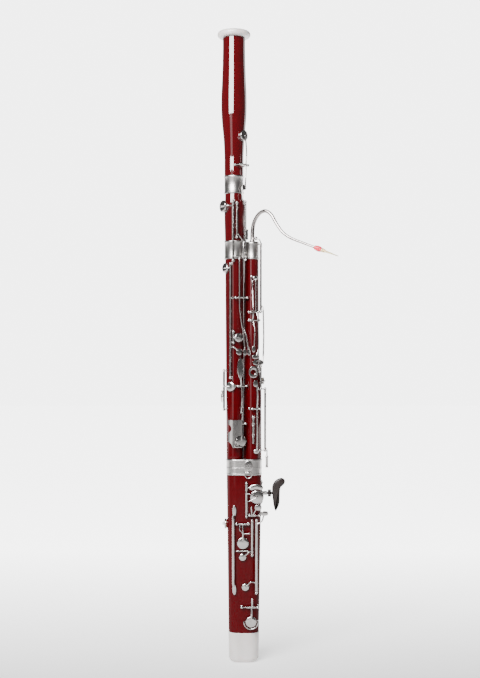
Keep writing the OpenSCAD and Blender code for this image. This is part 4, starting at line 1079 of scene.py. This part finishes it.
def add_boot_keys():
    arc = [(26.4 + 22.1 * cos(radians(k)), -32.2, 351 + 22.1 * sin(radians(k))) for k in range(64, 119, 6)]
    key("b_flat_thumb_key", "rod_o", 0.77, 0.96,
        arms=[([(5.5, -28, 371), (10, -31, 371), (15, -32, 371)], 1.5)],
        more=lambda metal: metal.sweep(arc, [5.0, 5.4, 5.0], out=Vector((0, 1, 0)), flat=0.19, seg=24,
                                       steps=4))
    key("pancake_key", "rod_o", 0.05, 0.72, "pancake", boss=6.4, arms=[
        ([(5.5, -28, z), (11, -32.6, z), over_pad("pancake", 6.4)], 1.3) for z in (343, 358)])
    key("low_e_key", "low_e", 0.2, 0.85, "low_e", arms=[
        ([(-2, -28, 294), (-2, -31.5, 280), (-2, -30.2, 260)], 1.6),
        ([(-8, -28, 294), (-8, -31, 282), (0, -32, 275), (12, -32.5, 275)], 1.4)])
    key("f_sharp_thumb_key", "f_sharp", 0.1, 0.6, arms=[
        ([(19, -27.5, 312), (22, -31, 319), (26, -32.3, 327)], 1.5),
        ([(16.5, -27.5, 312), (15.5, -30, 330)], 1.3)],
        touches=[(Vector((30, -32, 329.5)), 0, oval(15, 12, 2.4))])
    key("f_sharp_rod", "f_sharp_rod", pad="f_sharp", arms=[
        ([(17, -27.5, 240), (9, -32.5, 234), (-1, -28.2, 225)], 1.4)])
    key("a_flat_thumb_key", "a_flat", pad="a_flat", arms=[
        ([(26, -27, 170), (15, -30, 173), (4.5, -27.6, 162)], 1.5),
        ([(26, -27, 294), (37, -28.5, 299), (42, -27.5, 312)], 1.5)],
        touches=[(Vector((43, -27, 316.5)), 0, oval(17, 10, 2.4))])
    key("low_f_key", "low_f", 0.3, 0.85, "low_f", arms=[
        ([(16, -27, 119), (16, -31, 106), (15, -29.5, 90)], 1.7),
        ([(17.2, -27, 119), (17.2, -29.5, 137)], 1.7)])
    key("g_key", "g", pad="g", arms=[
        ([(12, 27.5, 320), (4, 31.5, 320), (-4, 30.4, 320)], 1.5), ([(12, 27.5, 222), (2, 31, 222)], 1.5)],
        touches=[(Vector((-4, 30, 222)), 180, oval(15, 20, 2.2))])
    key("side_trill_key", "side", pad="side", boss=6.3, arms=[
        ([at(-13.5, -150, 27, 291), at(-13.5, -128, 33.5, 291), at(-13.5, -107, 32, 291),
          over_pad("side", 6.3)], 1.5),
        ([at(-13.5, -150, 27, 262), (-18, 31, 258), (-10, 31, 256)], 1.5)],
        touches=[(Vector((-8, 29.5, 256)), 180, oval(12, 18, 2.2))])
    key("f_key", "f", pad="f", arms=[
        ([(12, 27.5, 160), (4, 31.5, 160), (-4, 30.2, 160)], 1.5), ([(12, 27.5, 106), (4, 31, 106)], 1.5)],
        touches=[(Vector((-3, 30, 106)), 180, oval(18, 13, 2.2))])


# ------------------------------------------------------------------ studio
def area_light(name, place, aim, size, power):
    data = bpy.data.lights.new(name, "AREA")
    data.shape = "RECTANGLE"
    data.size, data.size_y = size
    data.energy = power
    light = bpy.data.objects.new(name, data)
    light.location = place
    light.rotation_euler = (Vector(aim) - Vector(place)).to_track_quat("-Z", "Y").to_euler()
    light.visible_camera = False
    bpy.context.scene.collection.objects.link(light)


# Each light: name, place, height it aims at, width and height, watts
LIGHTS = [
    ("key_panel", (-0.93, -1.96, 2.04), 1.1, (1.7, 1.4), 300),
    ("low_panel", (-1.0, -1.9, 0.9), 0.7, (0.8, 1.7), 8),
    ("rim_panel", (1.7, 1.3, 1.0), 0.7, (0.4, 1.8), 12),
]
CAMERA_AT = (-0.008, -2.35, 0.683)
CAMERA_LENS = 58.7
# The floor lies just under the cap's foot
FLOOR_Z = -0.0005


def add_studio():
    verts = [(x, y, FLOOR_Z) for y in (-5, 9) for x in (-6, 6)]
    mesh = bpy.data.meshes.new("floor")
    mesh.from_pydata(verts, [], [(0, 1, 3, 2)])
    mesh.materials.append(studio_floor())
    floor = bpy.data.objects.new("floor", mesh)
    bpy.context.scene.collection.objects.link(floor)
    for name, place, aim_z, size, power in LIGHTS:
        area_light(name, place, (0, 0, aim_z), size, power)
    bpy.context.scene.world = studio_world()
    camera = bpy.data.cameras.new("camera")
    camera.lens = CAMERA_LENS
    camera.sensor_width = 36
    view = bpy.data.objects.new("camera", camera)
    view.location = CAMERA_AT
    view.rotation_euler = (pi / 2, 0, 0)
    bpy.context.scene.collection.objects.link(view)
    bpy.context.scene.camera = view


def keep_cad(node, material):
    """A CAD node whose shape is right keeps its mesh and takes a better material."""
    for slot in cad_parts[node].material_slots:
        slot.material = material


for node, material in [("u_tube", BAND_SILVER), ("u_tube_gasket", CORK), ("tenon_corks", CORK),
                       ("finger_hole_tubes", SILVER), ("bass_guard", SILVER)]:
    keep_cad(node, material)
add_bell()
add_long_joint()
add_wing_joint()
add_boot()
add_bocal()
add_reed()
add_posts()
add_rods()
add_guards()
add_lock()
add_strap()
add_hand_rest()
add_bell_and_long_joint_keys()
add_wing_keys()
add_boot_keys()
add_studio()
